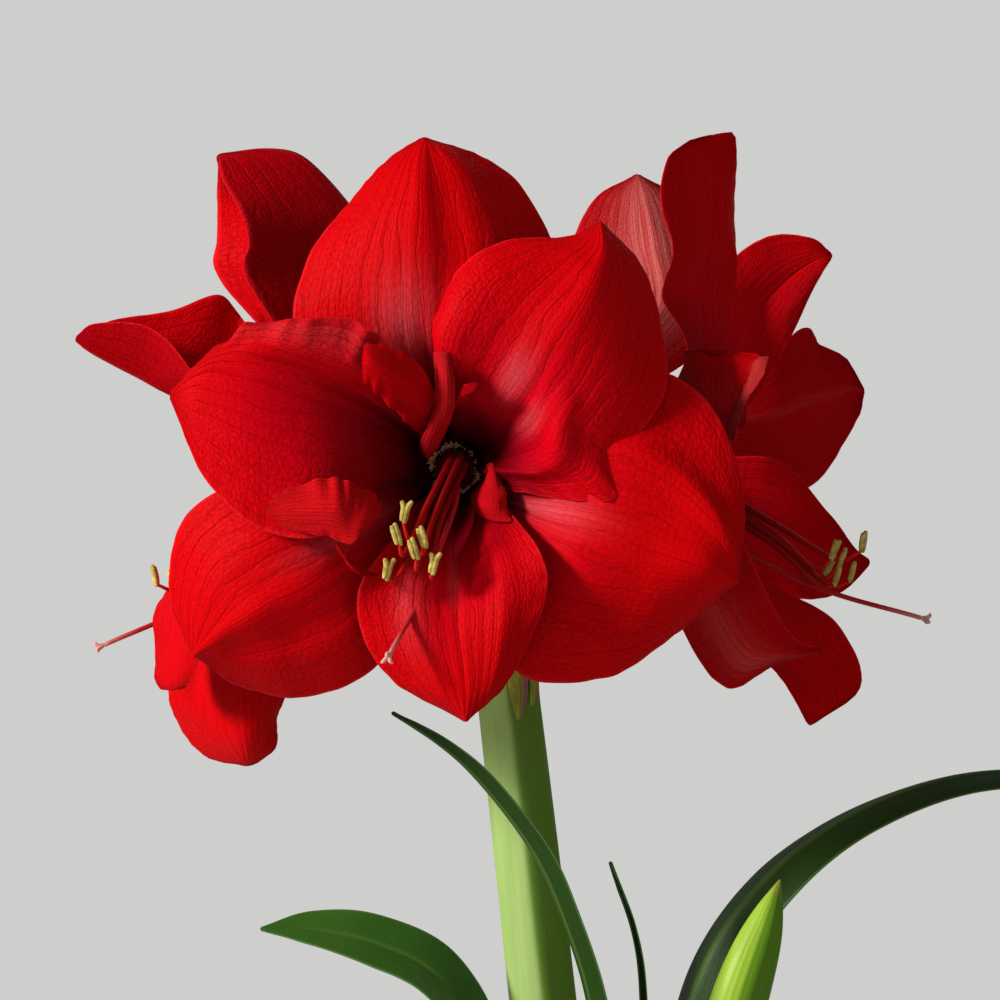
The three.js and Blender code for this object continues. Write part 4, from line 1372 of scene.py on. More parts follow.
@dataclass
class Bloom:
    """One flower of the head, with its stalk, petals, stamens and style.

    Args:
        name: Its name, which starts the names of its nodes.
        throat: Middle of the tube's mouth, in the head's frame.
        axis: Direction out of the flower.
        petals: Its petals.
        anthers: Places of the six anthers.
        stigma: Place of the stigma.
        foot: Offset of its stalk's foot on the main stalk's top.
        seed: Seed of its unevenness.
        bristles: Number of bristles in the throat.
        girth: Radius of its stalk at equal steps, from the foot.
    """

    name: str
    throat: Row
    axis: Row
    petals: Sequence[Petal]
    anthers: Sequence[Row]
    stigma: Row
    foot: Row
    seed: int = 0
    bristles: int = 190
    girth: Row = (4.2, 4.2, 4.4, 6.2, 7, 6.2, 7, 9, 12.8)
    out: Field = field(init=False)
    up: Field = field(init=False)
    right: Field = field(init=False)

    def __post_init__(self) -> None:
        """Works out the bloom's own directions."""
        self.out = unit(np.asarray(self.axis, float))
        self.up = unit(np.array(UPRIGHT, float) - self.out * self.out[2])
        self.right = np.cross(self.up, self.out)

    def at(self, along: Field | float, radius: Field | float, azimuth: Field | float) -> Field:
        """Returns points at distances along the axis, from it and round it."""
        along, radius, azimuth = np.broadcast_arrays(along, radius, azimuth)
        return (
            np.asarray(self.throat, float)
            + along[..., None] * self.out
            + (np.cos(azimuth) * radius)[..., None] * self.up
            + (np.sin(azimuth) * radius)[..., None] * self.right
        )

    def _facing(self, petal: Petal) -> Field:
        """Returns stations that lie on the trumpet: steep at the throat, then flat, then bent back."""
        rows = rails_of(petal.facing)
        beyond = np.maximum(0, np.hypot(rows[..., 0], rows[..., 1]) - petal.whorl.ring)
        depth = petal.whorl.reach * (1 - np.exp(-beyond / TRUMPET_BEND))
        depth = depth - TRUMPET_DROP * (beyond / TRUMPET_EDGE) ** 3
        return np.stack([rows[..., 0], self.throat[1] - depth + rows[..., 2], rows[..., 1]], axis=-1)

    def stations(self, petal: Petal) -> Field:
        """Returns all stations of a petal in the head's frame, from its root on the tube's mouth."""
        spread = np.radians(petal.azimuth) + np.array((-ROOT_SPREAD, 0, ROOT_SPREAD))
        root = np.stack([
            self.at(GAP, petal.whorl.ring, spread),
            self.at(ROOT_RISE, petal.whorl.ring + petal.whorl.flare, spread),
        ])
        if petal.facing:
            body = self._facing(petal)
        elif petal.placed:
            body = rails_of(petal.placed)
        else:
            body = petal.grown.stations(self, petal.azimuth)
        return np.concatenate([root, body])

    def _shade(self, petal: Petal) -> Shade:
        """Returns the shade of a petal.

        The first number is the distance from the throat, drawn out where the throat's painted shade reaches
        further up the petal, the second the distance from the midrib, and the third the strongest of the
        patches of painted sheen, each of which is a bell curve both ways.
        """

        def shade(points: Field, t: Field, v: Field) -> Sequence[Field]:
            """Returns the three numbers at each point."""
            away = np.linalg.norm(points - np.asarray(self.throat, float) - HEAD_ORIGIN, axis=-1)
            # Painted shade: the throat's dark is drawn further up petals that sit in shade.
            away = away / ALL_PETAL_LENGTH * (1.15 - 0.45 * petal.painted_shade_reach)
            pale = np.zeros(t.shape)
            for middle, side, length, width, strength in petal.pale:
                patch = np.exp(-(((t - middle) / length) ** 2) - ((v - side) / width) ** 2)
                pale = np.maximum(pale, strength * patch)
            return np.clip(away, 0, 1), np.abs(v), pale

        return shade

    def petal_skin(self, petal: Petal, number: int, along: int, across: int) -> Skin:
        """Returns a petal's skin with its flaps."""
        seed = 100 * self.seed + 10 * number
        blade = Blade(
            self.stations(petal) + HEAD_ORIGIN, petal.form, along=along, across=across, seed=seed,
            curls=petal.curls, folds=petal.folds)
        skins = [blade.skin(self._shade(petal))]
        for flap in petal.flaps:
            skins.append(flap.skin(blade.surface()[0], seed + 7))
        return Skin.joined(skins)

    def stalk_skin(self) -> Skin:
        """Returns the pedicel with its three-lobed ovary and the short tube that carries the petals.

        Its path is a cubic curve that rises from the foot and runs into the bloom's axis, cut into
        equal lengths. Its radius follows the girth values. The ovary's lobes are a cosine of three
        times the angle under a bell curve along the stalk.
        """
        foot = STALK_TOP + np.array((self.foot[0], self.foot[1], GAP))
        throat = np.asarray(self.throat, float) + HEAD_ORIGIN
        rise, run = foot + np.array((0, 0, PEDICEL_HANDLE)), throat - PEDICEL_HANDLE * self.out
        s = np.linspace(0, 1, FINE_STEPS)[:, None]
        curve = foot * (1 - s) ** 3 + rise * 3 * s * (1 - s) ** 2 + run * 3 * s**2 * (1 - s) + throat * s**3
        length = running_length(curve)
        even = np.interp(np.linspace(0, length[-1], len(self.girth)), length, s[:, 0])
        path = np.stack([np.interp(even, s[:, 0], curve[:, k]) for k in range(3)], axis=-1)

        def blush(t: Field) -> Sequence[Number]:
            """Returns the tint: red towards the petals, by a smooth step."""
            red = ramp(t, 0.62, 0.87)
            return red * red * (3 - 2 * red), t, 0

        return tube(path, lambda t: profile(self.girth, t) * 0.985, sides=36, steps=70, hint=self.right,
                    relief=lambda t, angle: 0.55 * np.cos(3 * angle) * bell(t - 0.5, 0.11),
                    ends=(UPRIGHT, self.out), tint=blush)

    def _filament(self, number: int) -> Skin:
        """Returns a filament and its anther.

        The filament leaves the ring, comes out through the mouth, sags and turns up to the foot of
        the anther. The anther is two lobes side by side that part at their upper ends: tubes whose
        radius is the fourth root of a half sine.
        """
        tip = np.asarray(self.anthers[number], float)
        angle = (number + 0.5) / len(self.anthers) * 2 * math.pi
        turn, tilt = (number % 3) * 0.4 - 0.3, (number % 2) * 0.5 - 0.3
        heading = unit(self.up + math.sin(tilt) * self.right + 0.3 * math.sin(turn) * self.out)
        foot = tip - 3.6 * heading
        root, mouth = self.at(0.9, 3.6, angle), self.at(24, 3, angle)
        bundle = np.mean(np.asarray(self.anthers, float), axis=0)
        middle = mouth * 0.42 + bundle * 0.3 + tip * 0.28 - 3 * self.up
        sag = mouth * 0.1 + bundle * 0.2 + tip * 0.7 - (7.5 + number % 3) * self.up
        path = np.array([root, mouth, middle, sag, foot]) + HEAD_ORIGIN
        parts = [tube(path, lambda t: 1.9 - 1.35 * t**0.8, sides=10, steps=48, hint=(0.2, 0.3, 1),
                      tint=lambda t: (0, 0, ramp(t, 0.35, 0.95)))]
        aside = unit(np.cross(heading, self.out) + 0.4 * math.cos(number) * self.out)
        places = np.linspace(-1, 1, 6)[:, None]
        for side in (-1.0, 1.0):
            spread = 0.55 + (0.15 + 1.2 * (number % 2)) * np.clip(places, 0, 1) ** 2
            lobe = tip + HEAD_ORIGIN + places * (ANTHER_HALF + 0.3 * side) * heading + side * spread * aside
            parts.append(tube(lobe, lambda t: 1.05 * np.sin(math.pi * (0.02 + 0.96 * t)) ** 0.22,
                              sides=14, steps=22, hint=self.out, tint=lambda t: (1, 0, 0)))
        return Skin.joined(parts)

    def _fringe(self) -> Skin:
        """Returns the frilled ring of pale scales in the throat.

        It is a low band round the axis that rises and flares from the tube's mouth, cut by noise
        round the ring, with short bristles along its rim.
        """
        count, section = 150, 12
        angle = round_angles(count)[:, None]
        height = 7 + 2.6 * unevenness(angle * 2.3, 0 * angle, self.seed + 51)
        turn = round_angles(section)[None, :]
        rise = 0.5 - 0.5 * np.cos(turn)
        radius = 7.8 + 0.9 * rise**1.3 + 0.5 * np.sin(turn)
        points = self.at(0.6 + height * rise, radius, angle + 0 * rise) + HEAD_ORIGIN
        index = np.arange(count * section).reshape(count, section)
        after = np.roll(index, -1, axis=0)
        quads = np.stack([index, np.roll(index, -1, axis=1), np.roll(after, -1, axis=1), after], axis=-1)
        uv = np.stack(np.broadcast_arrays(angle / (2 * math.pi), rise), axis=-1).reshape(-1, 2)
        tint = np.tile((0.0, 1.0, 0.0, 1.0), (count * section, 1))
        parts = [Skin(points.reshape(-1, 3), quads.reshape(-1, 4), np.zeros((0, 3), int), uv, tint)]
        chance = np.random.default_rng(self.seed + 60)
        for number in range(self.bristles):
            where = (number + chance.uniform(-0.4, 0.4)) / self.bristles * 2 * math.pi
            rim = 0.6 + float(np.interp(where, angle[:, 0], height[:, 0])) - 0.4
            length, lean = chance.uniform(0.9, 2.6), chance.uniform(-0.9, 1.1)
            steps = np.linspace(0, 1, 3)
            sway = chance.uniform(-0.12, 0.12)
            hair = self.at(rim - 0.6 + length * steps, 8.6 + length * lean * steps**1.5, where + sway * steps)
            parts.append(tube(hair + HEAD_ORIGIN, lambda t: 0.42 * (1 - 0.75 * t), sides=4, steps=3,
                              hint=self.right, tint=lambda t: (0, 1, 0)))
        return Skin.joined(parts)

    def stamens_skin(self) -> Skin:
        """Returns the fringe, the filaments and the anthers."""
        return Skin.joined([self._fringe()] + [self._filament(k) for k in range(len(self.anthers))])

    def style_skin(self) -> Skin:
        """Returns the style and the three curled lobes of its stigma."""
        tip = np.asarray(self.stigma, float)
        bend = self.at(30, 13.5, math.pi)
        low = bend * 0.45 + tip * 0.55 - 4 * self.up
        path = np.array([self.at(GAP, 0, 0), self.at(12, 2.2, math.pi), bend, low, tip]) + HEAD_ORIGIN
        parts = [tube(path, lambda t: 1.25 - 0.4 * t, sides=12, steps=60, hint=(0.2, 0.3, 1),
                      tint=lambda t: (ramp(t, 0.9, 1) * 0.5, 0, 0))]
        heading = unit(tip - low)
        steps = np.linspace(0, 1, 5)[:, None]
        for angle in round_angles(3):
            side = unit(math.cos(angle) * self.up + math.sin(angle) * self.right)
            rise, spread = 0.4 + 2.6 * np.sin(2 * steps), 0.2 + 2.3 * steps**1.5
            curl = tip + HEAD_ORIGIN + heading * rise + side * spread
            parts.append(tube(curl, lambda t: 0.8 * np.sqrt(np.sin(math.pi * (0.2 + 0.76 * t))),
                              sides=10, steps=14, hint=heading, tint=lambda t: (1, 0, 0)))
        return Skin.joined(parts)


# Petals in the order of growth: three outer ones behind, three inner ones in front.

# The pale rows of each petal are patches of painted sheen, and the reach of the throat's dark up a petal is
# partly painted shade, larger where the petal sits in shade.
FRONT = Bloom(
    "front", foot=(0.5, -6.8), seed=1, throat=(0, -38, 0), axis=(0, -1, 0),
    petals=(
        Petal("top", Whorl.OUTER, -12, Form(1.1, 2.5, 0.8, 0.5), facing=(
            (-22, 18, 4, -6, 23.5, -2, 14, 21.5, 4), (-54, 43.5, 6, -11.5, 49, -7, 34, 45.5, 8),
            (-51, 74.5, 7, -12, 75, -9, 37.5, 70.5, 11), (-34.5, 96.5, 6, -12, 97, -8, 23.5, 98.5, 11),
            (-22, 109.5, 4, -11.5, 109.5, -4, 8.5, 110, 7),
            (-12.5, 115.5, 2, -10.5, 116, 0, -8.5, 115.5, 2),
        ),
            folds=(Ridge((0.25, 0.55), (0.95, 0.4), 2.2, 0.22), Ridge((0.3, 0.25), (0.9, 0.2), -1.2, 0.12)),
            painted_shade_reach=0.2, pale=((0.43, -0.12, 0.09, 0.22, 0.9),)),
        Petal("lower_right", Whorl.OUTER, 108, Form(1.15, 2.5, 1, 2.1), facing=(
            (26.5, 7.5, 2, 21.5, -13.5, -3, 8.5, -25, 3), (62, 33.5, 3, 45.5, -20.5, -7, 20, -70, 8),
            (87, 25, -2, 70.5, -29.5, -8, 52, -73, 13), (100.5, -6, -8, 87.5, -35, -12, 78, -58, 12),
            (100, -38, -7, 99.5, -39.5, -8, 98, -40.5, -3),
        ),
            folds=(Ridge((0.3, -0.52), (0.98, -0.45), 3.6, 0.11), Ridge((0.2, 0.35), (0.8, 0.5), -2.5, 0.2)),
            painted_shade_reach=0.3, pale=((0.41, -0.07, 0.1, 0.11, 0.9),)),
        Petal("lower_left", Whorl.OUTER, -132, Form(1, 3.2, 0.8, 4.2), facing=(
            (-6, -24.5, 2, -17.5, -15.5, -3, -26, -3.5, 2), (-25.5, -67, 11, -43, -35.5, -7, -66, -2, 3),
            (-52.5, -80, 17, -65.5, -48, -9, -94.5, -17, 5),
            (-75, -77, 14, -79.5, -56.5, -6, -100, -44.5, 5),
            (-90, -66.5, 2, -91.5, -65.5, -1, -92.5, -64, 2),
        ),
            folds=(Ridge((0.3, 0.5), (0.95, 0.4), 1.5, 0.2), Ridge((0.3, -0.35), (0.9, -0.3), -1.5, 0.15)),
            painted_shade_reach=0.5, pale=((0.44, 0.2, 0.1, 0.1, 0.6),)),
        Petal("upper_left", Whorl.INNER, -72, Form(1.4, 2.5, 1.2, 1), facing=(
            (-23, -8, -2, -20.5, 12, 3, -8.5, 24.5, -4), (-43.5, -23, -6, -42.5, 22, 5, -28.5, 47.5, -6),
            (-67.5, -20.5, -3, -66, 29.5, 1, -58.5, 53, -5),
            (-86.5, -3.5, 1, -85.5, 33.5, 0, -78.5, 45.5, 1), (-99, 24, 3, -99, 26, 2, -98.5, 28, 4),
        ),
            curls=(Curl(Side.RIGHT, 0.5, 0.75, 1.02, 0.72, -55), Curl(Side.LEFT, 0.12, 0.3, 0.5, 0.7, -60)),
            folds=(
                Ridge((0.1, 0.1), (0.75, 0.3), -3, 0.09), Ridge((0.3, 0.75), (0.75, 0.55), 3.5, 0.25),
                Ruffle(Side.RIGHT, 0.5, 1, 0.45, 3.4, 2.2), Ruffle(Side.RIGHT, 0.3, 0.85, 0.5, 0.8, 9)),
            painted_shade_reach=0.9, pale=((0.6, 0.8, 0.2, 0.16, 0.4),),
            flaps=(
            Flap((
                (-10.5, 10, 0.3, -7, 14.5, 0.8, -4.5, 20, 0.3),
                (-16, 15.5, 3, -12, 22.5, 7, -7.5, 28.5, 3.5), (-21.5, 21, 5, -17.5, 29.5, 9, -13, 37, 5),
                (-26.5, 26, 5, -24, 34, 8.5, -20, 41, 4), (-30, 29.5, 3, -29.5, 37, 7.5, -29.5, 43, 4),
                (-31.5, 30.5, 1.5, -31.5, 37, 4, -31, 42.5, 2),
            ), 1.7, 0.3, (0.4, 0.9), (Ruffle(Side.LEFT, 0, 1, 0.2, 0.8, 3),)),
            Flap((
                (-74, -15, -1.5, -73.5, -16, -1.5, -72.5, -17.5, -1.5),
                (-65.5, -10.5, -0.8, -64, -15, 0, -63, -19.5, -0.8),
                (-57, -7, 1, -55.5, -14, 3, -54.5, -22, 1), (-42.5, -3, 7, -41.5, -14, 10, -42.5, -24, 4),
                (-35, -5.5, 10, -35.5, -16, 12, -37, -26, 7),
                (-29, -8.5, 12, -30.5, -17, 13.5, -33.5, -24.5, 9),
                (-25, -12, 11, -26, -15.5, 12, -27.5, -18.5, 10),
            ), 1.3, 0.5, (0.62, 0.85), (Ruffle(Side.LEFT, 0.15, 1.05, -0.2, 0.8, 8),), sheen=0.09),
            )),
        Petal("upper_right", Whorl.INNER, 46, Form(1.05, 2.5, 1.2, 3), facing=(
            (-3, 22.5, -3, 12, 8, -1, 21.5, -8, -2), (-11, 43, -5, 20.5, 18, -7, 55, -11, 0),
            (-8, 60, -4, 29.5, 30.5, -9, 56.5, 2, 3), (3, 73, 0, 38, 46, -10, 71, 22, 5),
            (20, 79.5, 3, 47, 61.5, -9, 74, 41.5, 7), (39.5, 81, 3, 52, 74.5, -6, 67, 68.5, 6),
            (50, 85.5, 1, 51, 86, -1, 53, 84.5, 2),
        ),
            curls=(Curl(Side.LEFT, 0.15, 0.4, 0.8, 0.7, -70),),
            folds=(
            Ridge((0.1, 0.75), (0.55, 0.3), 4.5, 0.13), Ridge((0.1, -0.4), (0.8, -0.35), -3.5, 0.25),
            Ruffle(Side.RIGHT, 0.12, 0.5, 0.35, 1.2, 6)),
            painted_shade_reach=0.55, pale=((0.47, -0.17, 0.07, 0.1, 1), (0.41, 0.13, 0.05, 0.07, 0.8)),
            flaps=(
            Flap((
                (-2, 40.5, 0.5, -4.5, 40.5, 1, -7, 40.5, 0.3), (0, 31.5, 5, -3, 31.5, 7.5, -6.5, 31.5, 3),
                (0.5, 25, 10, -3, 25, 12.5, -6.5, 26, 6), (-0.5, 19, 13, -3.5, 20, 15.5, -6.5, 22, 8),
                (-3.5, 12, 16, -6.5, 13, 18.5, -9.5, 14.5, 11), (-6, 7, 17, -9, 7.5, 19, -12, 9, 13),
                (-8.5, 4.5, 16, -9.5, 4, 17, -11, 5, 14),
            ), 1.9, 0.05, (1, 1), sheen=0.2),
            Flap((
                (-3, 18.5, 5, -1.5, 21.5, 9, -0.5, 25, 5), (1.5, 22, 7, 2.5, 25, 11, 3, 28.5, 7),
                (5.5, 24, 9, 6.5, 27, 12, 6.5, 29.5, 9), (8.5, 27, 10, 8.5, 28, 11, 8.5, 29.5, 10),
            ), 1.8, 0.05, (0.3, 0.45)),
            )),
        Petal("bottom", Whorl.INNER, 168, Form(1.5, 1.5, 1, 0.4), facing=(
            (16, -11.5, -3, 0, -18, 2, -19, -18.5, -2), (30, -29, -3, 0.5, -37, 2, -32, -39, -1),
            (31.5, -47, -2, 1.5, -55.5, -2, -32.5, -56.5, 5), (19, -73.5, 2, 4, -76.5, -4, -20.5, -74.5, 9),
            (5, -87.5, 2, 4, -88, -1, 2.5, -87.5, 6),
        ),
            curls=(Curl(Side.RIGHT, 0.15, 0.35, 0.6, 0.75, 70),),
            folds=(Ridge((0.2, -0.6), (0.95, -0.5), 1.8, 0.16), Ridge((0.2, 0.5), (0.9, 0.35), 1.6, 0.16)),
            painted_shade_reach=0.35, pale=((0.58, 0.5, 0.14, 0.16, 0.45), (0.5, 0.02, 0.08, 0.06, 0.6)),
            flaps=(
            Flap((
                (7.5, -15.5, 0.3, 13, -18, 0.8, 20, -18.5, 0.3), (5.5, -11, 6, 12, -13, 9, 18.5, -13, 2),
                (7, -8, 8, 12, -8, 12, 18, -7.5, 4), (10.5, -4, 8, 13, -3.5, 13, 16, -4, 6),
                (11.5, 1.5, 10, 13, 2, 12, 14, 1, 9),
            ), 2.2, 0.3, (0.45, 0.6), sheen=0.08),
            Flap((
                (-24.5, -38, 0.5, -30.5, -35.5, 2, -36, -32, 1),
                (-28.5, -37.5, 4, -35.5, -34, 7, -40.5, -27.5, 3),
                (-32.5, -36.5, 5, -36, -34, 6, -40, -26.5, 4),
                (-36, -32.5, 5, -38, -30, 5.5, -40.5, -26, 5),
            ), 1.5, 0.3, (0.5, 0.5)),
            )),
    ),
    anthers=(
        (-11, -93, -24), (-7, -95, -33), (-14, -97, -28),
        (-23, -95, -35), (-20, -97, -23), (-17, -93, -15),
    ),
    stigma=(-22, -100, -64),
)

LEFT = Bloom(
    "left", foot=(-6.6, 0.6), seed=2, throat=(-34, 10, 0), axis=(-0.95, 0.02, -0.3),
    petals=(
        Petal("up", Whorl.OUTER, 0, Form(1.3, 2, 1.2, 1), placed=(
            (-57, 34, 35.5, -33, 10, 35.5, -54, -10, 35), (-85, 42, 67.5, -31, 12, 68.5, -74.5, -14, 68.5),
            (-87.5, 42, 85, -34.5, 12, 88, -74, -16, 81.5),
            (-87.5, 36, 98.5, -41.5, 12, 99, -78, -12, 94.5),
            (-86.5, 22, 109, -55, 11, 112.5, -83.5, -4, 105),
            (-86.5, 13, 112.5, -67, 10, 115.5, -85, 2, 111),
            (-86, 9, 113.5, -84.5, 8.5, 114, -85.5, 7.5, 113),
        ), painted_shade_reach=0.7),
        Petal("lower_near", Whorl.OUTER, 120, Form(1.6, 1, 0.8, 2), placed=(
            (-55, -28, -0.5, -53.5, -22, -18, -48, -2, -32.5),
            (-77, -52, -18, -84, -40, -31, -93, -14, -37),
            (-85.5, -57, -42.5, -97, -38, -48.5, -107, -10, -48.5),
            (-88.5, -56, -60.5, -99, -37, -64, -107, -13, -64),
            (-92.5, -49, -72, -100.5, -35, -75, -107.5, -19, -74),
            (-95.5, -40, -77.5, -100, -33, -78.5, -105, -26, -78.5),
        ), painted_shade_reach=0.9),
        Petal("lower_far", Whorl.OUTER, 240, Form(1.5, 0, 1.2, 3),
              grown=Growth(length=0.93, open=0.95, back=2)),
        Petal("near_up", Whorl.INNER, 60, Form(1.6, 1, 1, 5), placed=(
            (-58, -8, 20, -58, -14, 10, -60, -16, -4), (-72, -24, 38, -76, -32, 18, -78, -34, -4),
            (-80, -36, 38, -86, -42, 18, -86, -43, 2), (-86, -45, 24, -88, -46, 17, -88, -47, 12),
            (-88.5, -48, 16.5, -89, -48.4, 15.2, -89, -48.6, 13.9),
        )),
        Petal("bottom", Whorl.INNER, 180, Form(1.4, 1.5, 1.2, 0), placed=(
            (-43, -10, -27, -52, 8, -32.5, -62, 26, -22), (-57, -14, -57.5, -73, -14, -59, -95, 24, -54),
            (-61, -14, -80.5, -77.5, -18, -81, -105, 24, -79.5),
            (-63.5, -10, -90.5, -77, -15, -94, -100.5, 24, -93),
            (-64.5, -6, -99.5, -75.5, -8, -102, -90, 17, -104),
            (-71, -3, -105.5, -74.5, -1, -106.5, -77.5, 2, -106.5),
        ), painted_shade_reach=0.7),
        Petal("far_up", Whorl.INNER, 300, Form(1.3, 1.5, 0.8, 2), placed=(
            (-62, 32, -4, -62, 30, 16, -60, 18, 30), (-86, 24, 12, -82, 33, 20, -76, 30, 52),
            (-94, 10, 34, -103, 24, 27, -86, 28, 63.5), (-110, 10, 51, -116, 20, 34, -104, 26, 57.5),
            (-130, 14, 53, -131, 17, 42, -124, 22, 54.5),
            (-137.4, 16, 48.4, -137.6, 16.6, 46.6, -136.6, 17.6, 48.6),
        ), painted_shade_reach=0.7),
    ),
    anthers=(
        (-107, -24, -38), (-101, -10, -44), (-102, 4, -40),
        (-90, 17, -52), (-99, 21, -44), (-98, 8, -32),
    ),
    stigma=(-126, -8, -63),
)

RIGHT = Bloom(
    "right", foot=(6.8, -0.6), seed=3, throat=(60, 5, 3), axis=(0.9, -0.28, -0.3),
    petals=(
        Petal("up", Whorl.OUTER, 0, Form(1.3, 1.5, 1.2, 0), placed=(
            (83.5, -12, 42, 88, 8, 45, 96.5, 20, 42.5), (74.5, -14, 62, 88, 6, 67.5, 100.5, 20, 65),
            (77, -14, 78.5, 92.5, 2, 82, 101, 18, 83), (74, -13, 95.5, 90.5, 4, 98.5, 102, 17, 102),
            (76.5, -9, 111.5, 89, 4, 114.5, 101.5, 13, 115),
            (83, -3, 117.5, 90, 5, 119.5, 100.5, 10, 121.5), (89, 3, 120, 92, 6, 120.5, 96, 8, 121.5),
        ), painted_shade_reach=0.7),
        Petal("lower_far", Whorl.OUTER, 120, Form(1.5, 1.5, 1, 1), placed=(
            (80, 40, 2, 76, 32, -16, 70, 16, -28), (116, 50, 4, 110, 46, -18, 102, 34, -40),
            (136, 50, -15, 132, 46, -30, 124, 36, -47), (146, 44, -28.5, 146, 42, -35, 140, 38, -45),
            (150.6, 40, -32.4, 151, 39.6, -33.8, 150.6, 39.2, -35.2),
        ), painted_shade_reach=0.7),
        Petal("lower_near", Whorl.OUTER, 240, Form(1.6, 2, 0.8, 2), placed=(
            (66, -8, -28, 68, -20, -16, 72, -28, 2), (82, -18, -58, 90, -36, -44, 98, -48, -20),
            (97, -24, -78, 104, -38, -64, 112, -46, -48), (114, -28, -70, 118, -34, -66, 121.5, -37, -61),
            (129.4, -30, -65.8, 130, -30.4, -64.8, 130.4, -31, -63.6),
        ), pale=((0.66, -0.25, 0.22, 0.45, 0.2),), painted_shade_reach=0.8),
        Petal("far_up", Whorl.INNER, 60, Form(1.4, 1.5, 1, 4), placed=(
            (84, 21, 36, 86, 28, 20, 84, 28, 0), (98, 32, 72, 104, 40, 50, 106, 46, 22),
            (113, 34, 85, 118, 40, 67, 121, 44, 46), (129, 33, 84.5, 130, 37, 76, 131, 40, 67),
            (136.4, 33, 79.4, 137, 33.6, 78, 136.6, 34.2, 76.6),
        ), painted_shade_reach=0.9),
        Petal("bottom", Whorl.INNER, 180, Form(1.6, 1.5, 1.2, 3), placed=(
            (86, 20, -22, 80, 6, -24, 76, -8, -18), (114, 28, -40, 102, 12, -48, 92, -8, -44),
            (138, 24, -56, 120, 12, -70, 107, -4, -63), (147, 18, -78, 131, 10, -84, 118, 2, -76),
            (130, 9, -91.4, 128, 8, -92.2, 126.4, 7, -90.8),
        ), painted_shade_reach=0.7),
        Petal("near_up", Whorl.INNER, 300, Form(1.4, 1, 1.5, 1), placed=(
            (87.5, -12, 0, 94, -22, 10.5, 100.5, -30, 15.5), (83.5, -34, 23, 92, -54, 27, 103, -68, 25),
            (80, -46, 39, 94, -66, 39.5, 107, -77, 31.5), (83.5, -55, 42, 96, -69, 41, 109, -79, 36.5),
            (91, -64, 39, 98, -71, 40.5, 105.5, -78, 40),
        ), painted_shade_reach=0.9, flaps=(
            Flap((
                (104, 36.5, 0, 106.5, 38.5, 2.5, 109.5, 39, 3),
                (103, 32, 0.5, 105.5, 34, 5, 108.5, 35.5, 8),
                (101, 27.5, 0.5, 103, 29.5, 6, 106.5, 30.5, 10),
                (98.5, 21.5, 0.5, 100, 22.5, 6, 102.5, 24.5, 10),
                (97, 16, 0.5, 98.5, 16.5, 5, 100.5, 18, 8), (97, 10.5, 0.5, 98.5, 10.5, 3, 99.5, 10.5, 5),
            ), 1.6, 0.3, (0.8, 0.8), sheen=0.2),
        )),
    ),
    anthers=(
        (146, -14, -26), (135.5, -18, -29), (138.5, -12, -32),
        (136.4, -20, -38), (142, -15, -37), (134, -8, -35),
    ),
    stigma=(166, -24, -53),
)

BACK = Bloom(
    "back", foot=(0, 6.8), seed=4, throat=(32, 54, 20), axis=(0.38, 0.9, -0.12),
    petals=(
        Petal("top", Whorl.OUTER, -20, Form(1.5, 1.5, 1, 1), placed=(
            (72, 68, 32, 56, 64, 42, 38, 71, 42), (97, 86, 52, 76, 80, 60, 50, 87, 62),
            (96, 93, 84, 74, 86, 84, 43, 95, 82), (84, 90, 101, 70, 85.5, 102, 51, 92, 101),
            (68.6, 85, 109.4, 67, 85, 110, 65.4, 85, 109.4),
        ), painted_shade_reach=0, pale=((0.62, 0.02, 0.6, 0.5, 0.8),)),
        Petal("lower_left", Whorl.OUTER, 105, Form(1.5, 0, 1.2, 2),
              grown=Growth(length=0.85, open=1, fold=0.06, back=10)),
        Petal("lower_right", Whorl.OUTER, 225, Form(1.5, 0, 1.2, 5),
              grown=Growth(length=0.85, open=1, fold=0.06, back=10)),
        Petal("upper_left", Whorl.INNER, 42, Form(1.5, 0, 1.4, 1),
              grown=Growth(length=0.82, open=1, fold=0.18, width=0.92)),
        Petal("bottom", Whorl.INNER, 165, Form(1.5, 0, 1.4, 3),
              grown=Growth(length=0.82, open=1, fold=0.18, width=0.9)),
        Petal("right", Whorl.INNER, 285, Form(1.6, 1.5, 1, 2), placed=(
            (102.5, 74, 0, 105, 72, 18.5, 103, 76, 33.5), (128, 92, -7.5, 129.5, 88, 26, 127.5, 88, 52.5),
            (145.5, 108, 11.5, 142.5, 100, 29.5, 136, 96, 47),
            (151, 110, 21, 148.5, 106, 31, 145.5, 102, 42),
            (152, 108, 27, 152.5, 108, 29.5, 152, 108, 31.5),
        ), painted_shade_reach=0.8),
    ),
    anthers=((66, 122, -4), (60, 122, -10), (62, 122, -18), (81, 114, -18), (86, 110, -11), (78, 118, -2)),
    stigma=(86, 134.4, -26),
)
# ---------------------------------------------------------------- pot, soil and bulb


